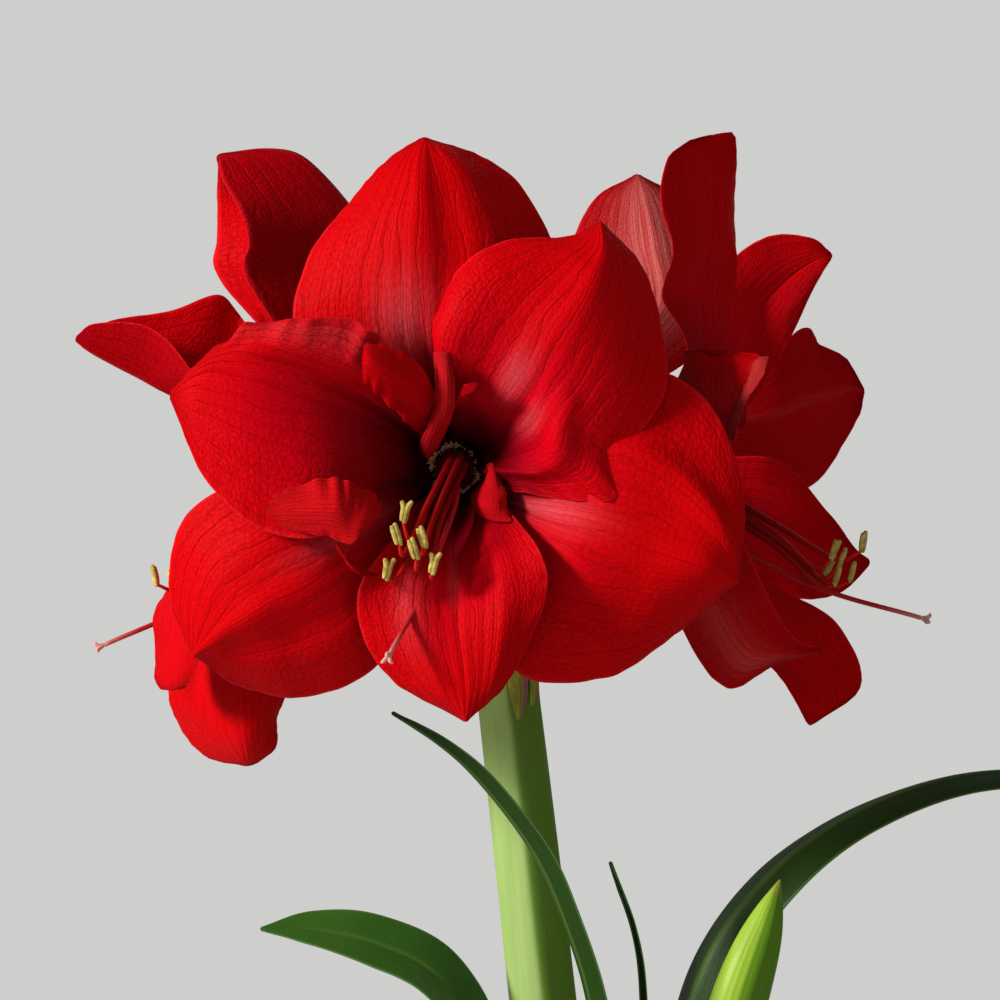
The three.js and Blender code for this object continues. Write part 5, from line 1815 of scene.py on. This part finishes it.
@dataclass
class Pot:
    """The plain clay pot: a tapered wall with a flat underside and a rolled rim."""

    height: float = 140
    base_radius: float = 54
    top_radius: float = 77
    rim_radius: float = 83
    rim_height: float = 24
    wall: float = 6
    floor: float = 9
    sides: int = 120

    def wall_radius(self, height: float) -> float:
        """Returns the radius of the outer wall at a height."""
        return self.base_radius + (self.top_radius - self.base_radius) * height / self.height

    def skin(self) -> Skin:
        """Returns the pot, turned from its outline, whose foot ring stays on the floor."""
        rim_foot = self.height - self.rim_height
        inner_top = self.wall_radius(self.height) - self.wall
        inner_floor = self.wall_radius(self.floor) - self.wall
        outline = rounded_outline([
            (0.5, 0), (self.base_radius - 3, 0), (self.base_radius, 3),
            (self.wall_radius(rim_foot) - 0.3, rim_foot), (self.rim_radius - 2.2, rim_foot + 1.5),
            (self.rim_radius - 0.7, rim_foot + 5), (self.rim_radius - 0.2, self.height - 4.5),
            (self.rim_radius - 3, self.height), (inner_top + 2, self.height),
            (inner_top, self.height - 3), (inner_floor, self.floor), (0.5, self.floor),
        ], 1.9, 2)
        high = outline[:, 1:]

        def throwing(angle: Field) -> Field:
            """Returns the slight waves that the wheel left, none on the underside."""
            waves = 0.10 * np.sin(high * 0.9 + 0.6 * np.sin(angle))
            waves = waves + 0.18 * unevenness(high / 9, 5 * np.sin(angle / 2) + 9, 3)
            return (waves - 0.2) * ramp(high, 3, 9)

        return turned(outline, self.sides, throwing)


PAPER_THICKNESS = 0.4


@dataclass
class Bulb:
    """The bulb, with papery scales that have torn and lift at their edges."""

    bottom: float = 98
    top: float = 188
    radius: float = 47
    widest: float = 138
    neck_radius: float = 25
    sides: int = 128

    def corners(self) -> list[Row]:
        """Returns radius and height of the outline's corners, from the foot up."""
        return [
            (0, self.bottom), (self.radius * 0.42, self.bottom + 3), (self.radius * 0.76, self.bottom + 13),
            (self.radius * 0.95, self.widest - 16), (self.radius, self.widest),
            (self.radius * 0.93, self.widest + 12), (self.radius * 0.76, self.widest + 24),
            (self.neck_radius + 4, self.widest + 35), (self.neck_radius, self.top - 6),
            (self.neck_radius, self.top), (0, self.top),
        ]

    def body(self) -> Skin:
        """Returns the bulb's body: its outline with lengthwise folds that wander with the noise."""
        outline = rounded_outline([(0.3, self.bottom)] + self.corners()[1:-1] + [(0.3, self.top)], 1.9, 4)
        high = outline[:, 1:]

        def folds(angle: Field) -> Field:
            """Returns the relief of the folds, which fade out on the neck's flat top."""
            side = ramp(-high, 2 - self.top, 8 - self.top) * ramp(high, self.bottom, self.bottom + 12)
            veins = 0.22 * np.sin(34 * angle + 2.4 * unevenness(high / 14, 2 * np.sin(angle) + 5, 5))
            lumps = 0.45 * unevenness(high / 22 + 3, 2.2 * np.sin(angle) + 2.2 * np.cos(angle) + 9, 8)
            return (veins + lumps - 0.6) * side

        skin = turned(outline, self.sides, folds)
        fresh = ramp(skin.points[:, 2], self.top - 16, self.top)
        blotches = unevenness(skin.points[:, 0] / 3, skin.points[:, 1] / 3, 2)
        skin.tint[:, 0] = 0.75 * fresh + 0.25 * fresh * blotches
        return skin

    @staticmethod
    def _grid(rows: int, columns: int) -> list[Field]:
        """Returns the places up and round a scale, from 0 to 1."""
        return np.meshgrid(np.linspace(0, 1, rows), np.linspace(0, 1, columns), indexing="ij")

    @staticmethod
    def _paper(u: Field, w: Field, angle: Field, radius: Field, height: Field) -> Skin:
        """Returns a papery skin through points given by angle, radius and height.

        Args:
            u: Place up the scale.
            w: Place round it.
            angle: Angles about the bulb.
            radius: Distances from its middle.
            height: Heights.
        """
        points = np.stack([radius * np.cos(angle), radius * np.sin(angle), height], axis=-1)
        return shell(points, u, 2 * w - 1, PAPER_THICKNESS, 0.5, lambda points, t, v: (0, t, 0))

    def scale(self, start: float, span: float, foot: float, top: float, lift: float, seed: int) -> Skin:
        """Returns one torn outer scale, which hugs the body and lifts at its ragged upper edge.

        Args:
            start: Angle of its first edge, in degrees.
            span: Angle that it covers.
            foot: Height of its foot.
            top: Mean height of its torn edge.
            lift: Distance from the body at the torn edge.
            seed: Seed of the tear.
        """
        u, w = self._grid(29, 66)
        side = 2 * w - 1
        angle = np.radians(start + span * w + 5 * unevenness(4 * u, 0 * w + 2, seed) * side)
        tear = top + 9 * layered_unevenness(11 * w, 0 * u + 3, seed + 1, 4) - 26 * np.abs(side) ** 4
        height = foot + (tear - foot) * u
        corners = np.array(self.corners()[1:-1], float)
        away = 0.5 + lift * u**3 + 0.2 * np.abs(side) ** 6 + 0.25 * unevenness(7 * u, 12 * w, seed + 2)
        return self._paper(u, w, angle, np.interp(height, corners[:, 1], corners[:, 0]) + away, height)

    def sheath(self) -> Skin:
        """Returns the torn collar of dry scales that stands round the leaves' feet on the neck."""
        u, w = self._grid(22, 170)
        angle = 2 * math.pi * 1.04 * w
        tear = self.top + 4 + 8 * layered_unevenness(8 * w, 0 * u + 3, 61, 4)
        height = self.widest + 24 + (tear - self.widest - 24) * u
        corners = np.array(self.corners()[1:-2] + [(self.neck_radius + 0.6, self.top + 14)], float)
        radius = np.interp(height, corners[:, 1], corners[:, 0]) + 0.2 + 1.2 * w
        radius = radius + (0.4 * unevenness(3 * u, 20 * w, 62) + 0.25 * np.sin(26 * angle)) * u
        return self._paper(u, w, angle, radius, height)

    def skin(self) -> Skin:
        """Returns the body, its scales and the collar."""
        return Skin.joined([
            self.body(),
            self.sheath(),
            self.scale(-150, 150, 126, 166, 0.7, 21),
            self.scale(-20, 130, 126, 160, 0.9, 31),
            self.scale(95, 120, 126, 168, 0.8, 41),
            self.scale(-95, 70, 126, 152, 1.4, 51),
        ])


@dataclass
class PottingMix:
    """The potting mix: a crumbly top round the bulb, with loose crumbs and bits of bark."""

    level: float = 122
    crumbs: int = 420
    sides: int = 150

    def skin(self, pot: Pot, bulb: Bulb) -> Skin:
        """Returns the mix, whose top rises and falls with layers of noise.

        Args:
            pot: The pot that holds it.
            bulb: The bulb that stands in it.
        """
        clear = pot.wall + GAP + 0.4
        seat = [(r + 0.5, z - 0.5) for r, z in bulb.corners() if z < self.level - 2]
        seat_top = bulb.radius * 0.95 + 0.8
        corners = [
            (0.5, pot.floor + GAP), (pot.wall_radius(pot.floor) - clear, pot.floor + GAP),
            (pot.wall_radius(self.level) - clear, self.level - 1), (seat_top + 1.2, self.level - 0.5),
            (seat_top, self.level - 3), *seat[::-1][:-1], (0.5, bulb.bottom - 0.5),
        ]
        outline = rounded_outline(corners, 1.3, 1)
        skin = turned(outline, self.sides)
        x, y, z = skin.points.T
        radius = np.hypot(x, y)
        edge = np.clip((pot.wall_radius(self.level) - clear - radius) / 1.5, 0, 1)
        open_top = np.clip((z - self.level + 3) / 2, 0, 1) * edge * np.clip((radius - seat_top) / 2, 0, 1)
        rough = layered_unevenness(x / 7 + 20, y / 7 + 20, 71, 5) + 0.5
        skin.points[:, 2] += open_top * 2.0 * rough
        skin.tint[:, 0] = 1.0
        return Skin.joined([skin, self._crumbs(seat_top + 2, pot.wall_radius(self.level) - clear - 2)])

    def _crumbs(self, inner: float, outer: float) -> Skin:
        """Returns loose crumbs: small balls of noise, some drawn out into chips of bark.

        Args:
            inner: Least distance from the middle.
            outer: Greatest distance.
        """
        draw = np.random.default_rng(12)
        rings, sides = 5, 7
        turn = round_angles(sides)
        tall = np.linspace(0.12, 0.88, rings) * math.pi
        ball = np.stack([
            np.sin(tall)[:, None] * np.cos(turn), np.sin(tall)[:, None] * np.sin(turn),
            np.repeat(-np.cos(tall)[:, None], sides, axis=1)], axis=-1)
        skins = []
        for number in range(self.crumbs):
            away = math.sqrt(draw.uniform(inner**2, outer**2))
            angle = draw.uniform(0, 2 * math.pi)
            size = draw.uniform(0.5, 1.5) if number % 9 else draw.uniform(1.6, 2.6)
            stretch = np.array((1.0, 1.0, 0.7)) if number % 4 else np.array((2.1, 0.8, 0.45))
            lump = ball * (1 + 0.35 * draw.uniform(-1, 1, (rings, sides, 1))) * size * stretch
            spin = draw.uniform(0, math.pi)
            rolled = lump.copy()
            rolled[..., 0] = lump[..., 0] * math.cos(spin) - lump[..., 1] * math.sin(spin)
            rolled[..., 1] = lump[..., 0] * math.sin(spin) + lump[..., 1] * math.cos(spin)
            centre = (away * math.cos(angle), away * math.sin(angle), self.level + draw.uniform(0.1, 1.6))
            tint = np.tile((draw.uniform(0, 1), 0, 0, 1), (rings, 1))
            skins.append(ringed_skin(rolled + centre, tint))
        return Skin.joined(skins)


# ---------------------------------------------------------------- stalks, bud, bracts and leaves


NECK_TOP = 188.3
BUD_SLANT = (0.25, -0.06, 0.97)  # direction in which the short stalk runs into the bud


def shaded_side(skin: Skin, path: Field, lead: float, width: float) -> Skin:
    """Returns a stem's skin with the tint's blue, which marks painted shade on the side away from the lamp,
    rising from its middle line to its right.

    Args:
        skin: The skin of a stem that goes up.
        path: x, y and z along its middle line.
        lead: Distance left of the line where the deeper green begins.
        width: Distance over which it comes in.
    """
    aside = skin.points[:, 0] - np.interp(skin.points[:, 2], path[:, 2], path[:, 0])
    skin.tint[:, 2] = np.clip((aside + lead) / width, 0, 1) ** 1.5
    return skin


@dataclass
class Stalks:
    """The tall stalk of the head and the short one of the bud."""

    foot_radius: float = 14
    top_radius: float = 11.4
    flare: float = 2
    flat: float = 0.9

    def main_skin(self) -> Skin:
        """Returns the tall stalk.

        It narrows evenly and widens again under the pedicels. A soft ridge runs down its front with a
        shallow groove beside it, and the tint's blue marks painted shade, a deeper green, beyond the ridge.
        """
        path = np.array([(-6, 6, NECK_TOP), (-9.5, 5, 240), (-17.3, 3, 310), (-26.6, 1, 394), STALK_TOP])

        def radius(t: Field) -> Field:
            """Returns the radius at t."""
            plain = self.foot_radius + (self.top_radius - self.foot_radius) * t
            return plain - 0.35 + self.flare * ramp(t, 0.93, 1) ** 1.5

        def ridges(t: Field, angle: Field) -> Field:
            """Returns the ridge down the front and the fine ribs."""
            front = angle_from(1.5 * math.pi, angle)
            ridge = 0.9 * bell(front, 0.32) - 0.55 * bell(front - 0.8, 0.4)
            fine = 0.015 * np.cos(40 * angle + 1.5 * unevenness(6 * t, angle, 4))
            return (ridge + fine) * ramp(-t, -1, -0.94)

        skin = tube(path, radius, sides=100, steps=130, squash=self.flat, relief=ridges,
                    ends=(UPRIGHT, UPRIGHT), tint=self._foot)
        return shaded_side(skin, path, 1.6, 2.6)

    def bud_skin(self) -> Skin:
        """Returns the short stalk."""
        path = np.array([(15, 1, NECK_TOP), (19, -2, 220), (28, -8, 262), (37, -11, 292)], float)
        return tube(path, lambda t: 7.3 - t, sides=48, steps=60, ends=(UPRIGHT, BUD_SLANT),
                    tint=self._foot)

    @staticmethod
    def _foot(t: Field) -> Sequence[Number]:
        """Returns the tint: paler at the foot."""
        return ramp(-t, -0.14, 0) * 0.7, t, 0


@dataclass
class Bud:
    """The closed bud: two bracts that meet in a ridge on each side and end in a point."""

    outline: Row = (6.3, 10, 11.2, 10.9, 8.9, 5.2, 0.7)

    def skin(self) -> Skin:
        """Returns the bud.

        Its radius follows the outline. Towards the tip it is flatter, with a keel on each side where
        the bracts fold, a seam between them, and low ribs.
        """
        path = np.array([
            (37.1, -11, 292.4), (43, -12, 318), (51, -13, 345), (59, -13, 368), (64.3, -13, 384)])

        def bracts(t: Field, angle: Field) -> Field:
            """Returns the relief of keels, seam and ribs."""
            size = np.interp(t, np.linspace(0, 1, len(self.outline)), self.outline)
            front = angle_from(1.58 * math.pi, angle)
            keel = 0.085 * bell(front, 0.2) + 0.03 * bell(np.abs(front) - math.pi, 0.2)
            seam = -0.05 * bell(front - 0.75, 0.07)
            return size * (keel + seam + 0.008 * np.cos(26 * angle)) - 0.25

        skin = tube(path, lambda t: profile(self.outline, t) * (1 - 0.06 * np.minimum(1, 3 * t)),
                    sides=96, steps=110, squash=0.8, relief=bracts, ends=(BUD_SLANT, None),
                    tint=lambda t: (ramp(t, 0.9, 1) * 0.6, t, 0))
        # Painted shade: a deeper green on the bud's side turned from the lamp.
        return shaded_side(skin, path, 2, 1.8)


@dataclass
class Spathes:
    """The two dried bracts that hang from the tall stalk's top.

    Each row is the angle about the stalk from the front, half the angle covered, the clearance to
    the stalk, and the height.
    """

    rows: dict[str, Sequence[Row]] = field(default_factory=lambda: {
        "spathe_front": ((21, 15, 1, 465), (21, 14, 2, 458), (20, 10, 3.5, 449), (19, 2, 4.5, 441.6)),
        "spathe_side": ((60, 14, 0.8, 465), (54, 11, 1.2, 459), (48, 7, 1.8, 452), (43, 2, 2, 446)),
    })

    def skin(self, name: str, stalks: Stalks) -> Skin:
        """Returns one bract, curled a little along its edges."""
        radius = stalks.top_radius + stalks.flare
        angle, half, clear, height = np.array(self.rows[name], float).T[:, :, None]
        turn = np.radians(angle + np.array((-1, 0, 1)) * half)
        x = STALK_TOP[0] + (radius + clear) * np.sin(turn)
        y = STALK_TOP[1] - (radius * stalks.flat + clear) * np.cos(turn)
        stations = np.stack([x, y, np.repeat(height, 3, axis=1)], axis=-1)
        relief = Relief(ribs=4, crinkle=0.1, frills=4, groove=0.1, groove_width=0.1, ragged=0.05)
        blade = Blade(stations, Form(keel=1.6), relief, thickness=0.5, along=50, across=30, seed=61)
        return blade.skin(lambda points, t, v: (0.9 * ramp(v, 0.25, 0.75), np.abs(v), 0))


@dataclass(frozen=True)
class Leaf:
    """A strap leaf.

    Args:
        node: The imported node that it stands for.
        rows: x, y, z of the midrib, half width, turn in degrees and fold of each station. Turn is
            the angle of the blade about its midrib, and fold how far its edges rise above it.
    """

    node: str
    rows: Sequence[Row]

    def skin(self, seed: int) -> Skin:
        """Returns the leaf, 1.5 mm thick with thin edges."""
        rows = np.array(self.rows, float)
        centre = rows[:, :3]
        fine = 1e-4
        t = np.linspace(0, 1, len(rows))
        heading = unit(spline(centre, np.clip(t + fine, 0, 1)) - spline(centre, np.clip(t - fine, 0, 1)))
        side = unit(np.array((0.0, 1.0, 0.0)) - heading * heading[:, 1:2])
        turn = np.radians(rows[:, 4:5])
        side = side * np.cos(turn) + np.cross(heading, side) * np.sin(turn)
        up = unit(np.cross(side, heading))
        edges = [centre + sign * side * rows[:, 3:4] + up * rows[:, 5:6] for sign in (-1, 1)]
        stations = np.stack([edges[0], centre, edges[1]], axis=1)
        relief = Relief(ribs=9, rib_height=0.07, crinkle=0.05, frill=0.12, frills=5, groove=0.45,
                        groove_width=0.1, ragged=0.006)
        blade = Blade(stations, Form(keel=1.3), relief, thickness=1.45, margin_thickness=0.35,
                      along=130, across=36, seed=seed)
        return blade.skin(lambda points, t, v: (t, np.abs(v), 0))


LEAVES = (
    Leaf("leaf_front", (
        (5, -17, 188.8, 7, 80, 1), (7, -20, 240, 10, 60, 2), (3, -24, 295, 9, 35, 2),
        (-3, -27, 340, 8, 27, 2), (-12.5, -30, 371, 8, 25, 2), (-24, -32, 396, 7.5, 25, 2),
        (-43.5, -35, 421.5, 5.5, 28, 1.5), (-59, -38, 435, 3, 30, 1), (-74, -40, 444.5, 0.7, 30, 0),
    )),
    Leaf("leaf_thin", (
        (7, -11.5, 188.8, 4, 75, 0.5), (11.5, -10, 240, 5.5, 40, 1), (15, -11, 295, 5, 15, 1),
        (15.2, -11, 340, 4.2, 8, 1), (12.3, -11, 365, 2.8, 5, 0.6), (3.6, -11, 390, 0.6, 5, 0),
    )),
    Leaf("leaf_left", (
        (-20, -12, 188.8, 5, -35, 1), (-26, -17, 235, 11, -25, 3), (-35, -20, 290, 13.5, -20, 3),
        (-45, -20, 328, 14, -28, 3), (-60, -19, 350.5, 13.5, -40, 2.5), (-81, -20, 361.5, 12, -46, 2),
        (-103, -22, 366.5, 8, -46, 1.2), (-121, -24, 367, 0.9, -46, 0),
    )),
    Leaf("leaf_right", (
        (21, 10, 188.8, 6, 30, 1), (22, 12, 240, 13, 28, 3), (26, 14, 300, 16, 27, 4),
        (37, 14, 348, 17, 27, 4), (60, 13, 382, 17, 24, 4), (92, 12, 406, 15.5, 17, 3.5),
        (132, 10, 420, 12.5, 14, 3), (172, 8, 420, 9, 14, 2), (204, 6, 409, 5, 14, 1),
        (226, 4, 396, 0.9, 14, 0),
    )),
)


# ---------------------------------------------------------------- studio and assembly


# The last colour of the stalk and bud finishes is the deeper green of their painted shade.
STALK_FINISH = StemFinish(
    "stalk_green", colour("b0cc78"), colour("86ac50"), colour("d3dcb4"), 12, deep=colour("648c26"))
PEDICEL_FINISH = StemFinish("pedicel_green", colour("708f40"), colour("4d6b2b"), colour("a3101a"), 18)
BUD_FINISH = StemFinish(
    "bud_green", colour("a9cf3c"), colour("86ae24"), colour("b79d4c"), 10, 0.08, colour("5d8a10"))
SPATHE_FINISH = PaperFinish("dried_bract", colour("b4b440"), colour("7f8a22"), colour("b8647a"), 8)
BULB_FINISH = PaperFinish("bulb_scales", colour("8d5c35"), colour("472a16"), colour("b9c08a"), 60)
FLOOR_DROP = 0.0006  # how far the floor lies below the foot, in metres

@dataclass
class Studio:
    """Pale floor, soft light from the front left, and the camera."""

    camera_place: Row = (-0.036, -2.6, 0.520)
    lens: float = 260
    backdrop: float = 0.62
    ambient: float = 0.17
    floor_radius: float = 1.6

    def camera(self) -> None:
        """Places the camera level with the blooms, far off and with a long lens."""
        data = bpy.data.cameras.new("camera")
        data.lens, data.sensor_width, data.clip_start = self.lens, 36, 0.05
        camera = bpy.data.objects.new("camera", data)
        camera.location = self.camera_place
        camera.rotation_euler = (math.radians(90), 0, 0)
        bpy.context.scene.collection.objects.link(camera)
        bpy.context.scene.camera = camera

    @staticmethod
    def _lamp(name: str, place: Row, aim: Row, power: float, size: float, tone: Row) -> None:
        """Adds a soft square lamp.

        Args:
            name: Its name.
            place: Where it hangs, in metres.
            aim: The point that it faces.
            power: Watts.
            size: Side of the square, in metres.
            tone: Colour of its light.
        """
        data = bpy.data.lights.new(name, "AREA")
        data.energy, data.size, data.color = power, size, tone
        lamp = bpy.data.objects.new(name, data)
        away = np.asarray(place, float) - np.asarray(aim, float)
        pan = math.atan2(away[0], -away[1])
        lamp.location = place
        lamp.rotation_euler = (math.acos(away[2] / np.linalg.norm(away)), 0, pan)
        bpy.context.scene.collection.objects.link(lamp)

    def lights(self) -> None:
        """Adds the key lamp, a weak fill and a rim lamp behind."""
        middle = (-0.04, 0.0, 0.5)
        self._lamp("key", (-2.0, -0.95, 1.35), middle, 66, 0.45, (1.0, 0.98, 0.95))
        self._lamp("fill", (1.6, -1.8, 0.9), middle, 4.5, 1.6, (1.0, 1.0, 0.98))
        self._lamp("rim", (0.6, 1.7, 1.3), middle, 3, 1.0, (1.0, 1.0, 1.0))

    def world(self) -> None:
        """Sets an even grey surround, which lights the plant less than it shows."""
        world = bpy.data.worlds.new("studio")
        world.use_nodes = True
        world.node_tree.nodes.clear()
        tree = Tree(world.node_tree)
        seen = tree.node("Background", {0: (self.backdrop,) * 2 + (self.backdrop * 0.98, 1), 1: 1.0})
        light = tree.node("Background", {0: (self.ambient,) * 3 + (1,), 1: 1.0})
        ray = tree.node("LightPath").outputs["Is Camera Ray"]
        mix = tree.node("MixShader", {0: ray, 1: light.outputs[0], 2: seen.outputs[0]})
        tree.node("OutputWorld", {0: mix.outputs[0]})
        bpy.context.scene.world = world

    def floor(self) -> None:
        """Lays a plain pale disc under the pot."""
        mesh = bpy.data.meshes.new("floor")
        angle = round_angles(96)
        rim = [self.floor_radius * np.cos(angle), self.floor_radius * np.sin(angle), 0 * angle - FLOOR_DROP]
        mesh.from_pydata(np.stack(rim, axis=-1).tolist(), [], [list(range(len(angle)))])
        mesh.materials.append(FloorFinish().material())
        floor = bpy.data.objects.new("floor", mesh)
        bpy.context.scene.collection.objects.link(floor)

    def build(self) -> None:
        """Sets up camera, lights, surround and floor."""
        self.camera()
        self.lights()
        self.world()
        self.floor()
        bpy.context.scene.view_settings.view_transform = "Standard"


class Plant:
    """The potted amaryllis, dressed sub-assembly by sub-assembly."""

    def __init__(self) -> None:
        """Builds the shared effects and the finishes."""
        effects = Effects()
        self.petal = PetalFinish().material(effects)
        self.stamen = StamenFinish().material(effects)
        self.style = StyleFinish().material()
        self.stalk = STALK_FINISH.material(effects)
        self.pedicel = PEDICEL_FINISH.material(effects)
        self.bud = BUD_FINISH.material(effects)
        self.leaf = LeafFinish().material(effects)
        self.spathe = SPATHE_FINISH.material(effects)
        self.bulb = BULB_FINISH.material(effects)
        self.soil = SoilFinish().material(effects)
        self.clay = ClayFinish().material(effects)

    def bloom(self, bloom: Bloom, along: int, across: int) -> None:
        """Builds one bloom.

        Args:
            bloom: The bloom.
            along: Steps of its petals' grids from root to tip.
            across: Steps from margin to margin.
        """
        name = bloom.name
        bloom.stalk_skin().piece(f"{name}_pedicel_and_ovary", self.pedicel, "pedicel", [f"{name}_pedicel"])
        for number, petal in enumerate(bloom.petals):
            skin = bloom.petal_skin(petal, number, along, across)
            skin.piece(f"{name}_{petal.place}_petal", self.petal, "petal", [f"{name}_petal_{petal.place}"])
        stamens, style = bloom.stamens_skin(), bloom.style_skin()
        stamens.piece(f"{name}_filaments_and_anthers", self.stamen, "stamen", [f"{name}_stamens"])
        style.piece(f"{name}_style_and_stigma", self.style, "style", [f"{name}_style"])

    def blooms(self) -> None:
        """Builds the head of four blooms, the front one finest."""
        self.bloom(FRONT, along=100, across=84)
        for bloom in (LEFT, RIGHT):
            self.bloom(bloom, along=68, across=52)
        self.bloom(BACK, along=60, across=46)

    def greens(self) -> None:
        """Builds stalks, bracts, bud and leaves."""
        stalks = Stalks()
        stalks.main_skin().piece("tall_stalk", self.stalk, "stalk", ["main_stalk"])
        stalks.bud_skin().piece("short_stalk", self.stalk, "stalk", ["bud_stalk"])
        Bud().skin().piece("closed_bud", self.bud, "bud", ["bud"])
        spathes = Spathes()
        for name in spathes.rows:
            spathes.skin(name, stalks).piece(f"dried_{name}", self.spathe, "spathe", [name])
        for number, leaf in enumerate(LEAVES):
            leaf.skin(500 + 10 * number).piece(f"{leaf.node}_blade", self.leaf, "leaf", [leaf.node])

    def potted(self) -> None:
        """Builds the pot, its mix and the bulb."""
        pot, bulb = Pot(), Bulb()
        pot.skin().piece("clay_pot", self.clay, "pot", ["pot"])
        PottingMix().skin(pot, bulb).piece("potting_mix", self.soil, "soil", ["soil"])
        bulb.skin().piece("bulb_with_scales", self.bulb, "bulb", ["bulb"])


def main() -> None:
    """Builds the studio and the plant, and reports each piece."""
    logging.basicConfig(level=logging.INFO, format="%(name)s: %(message)s")
    Studio().build()
    plant = Plant()
    plant.blooms()
    plant.greens()
    plant.potted()


if __name__ == "__main__":
    main()
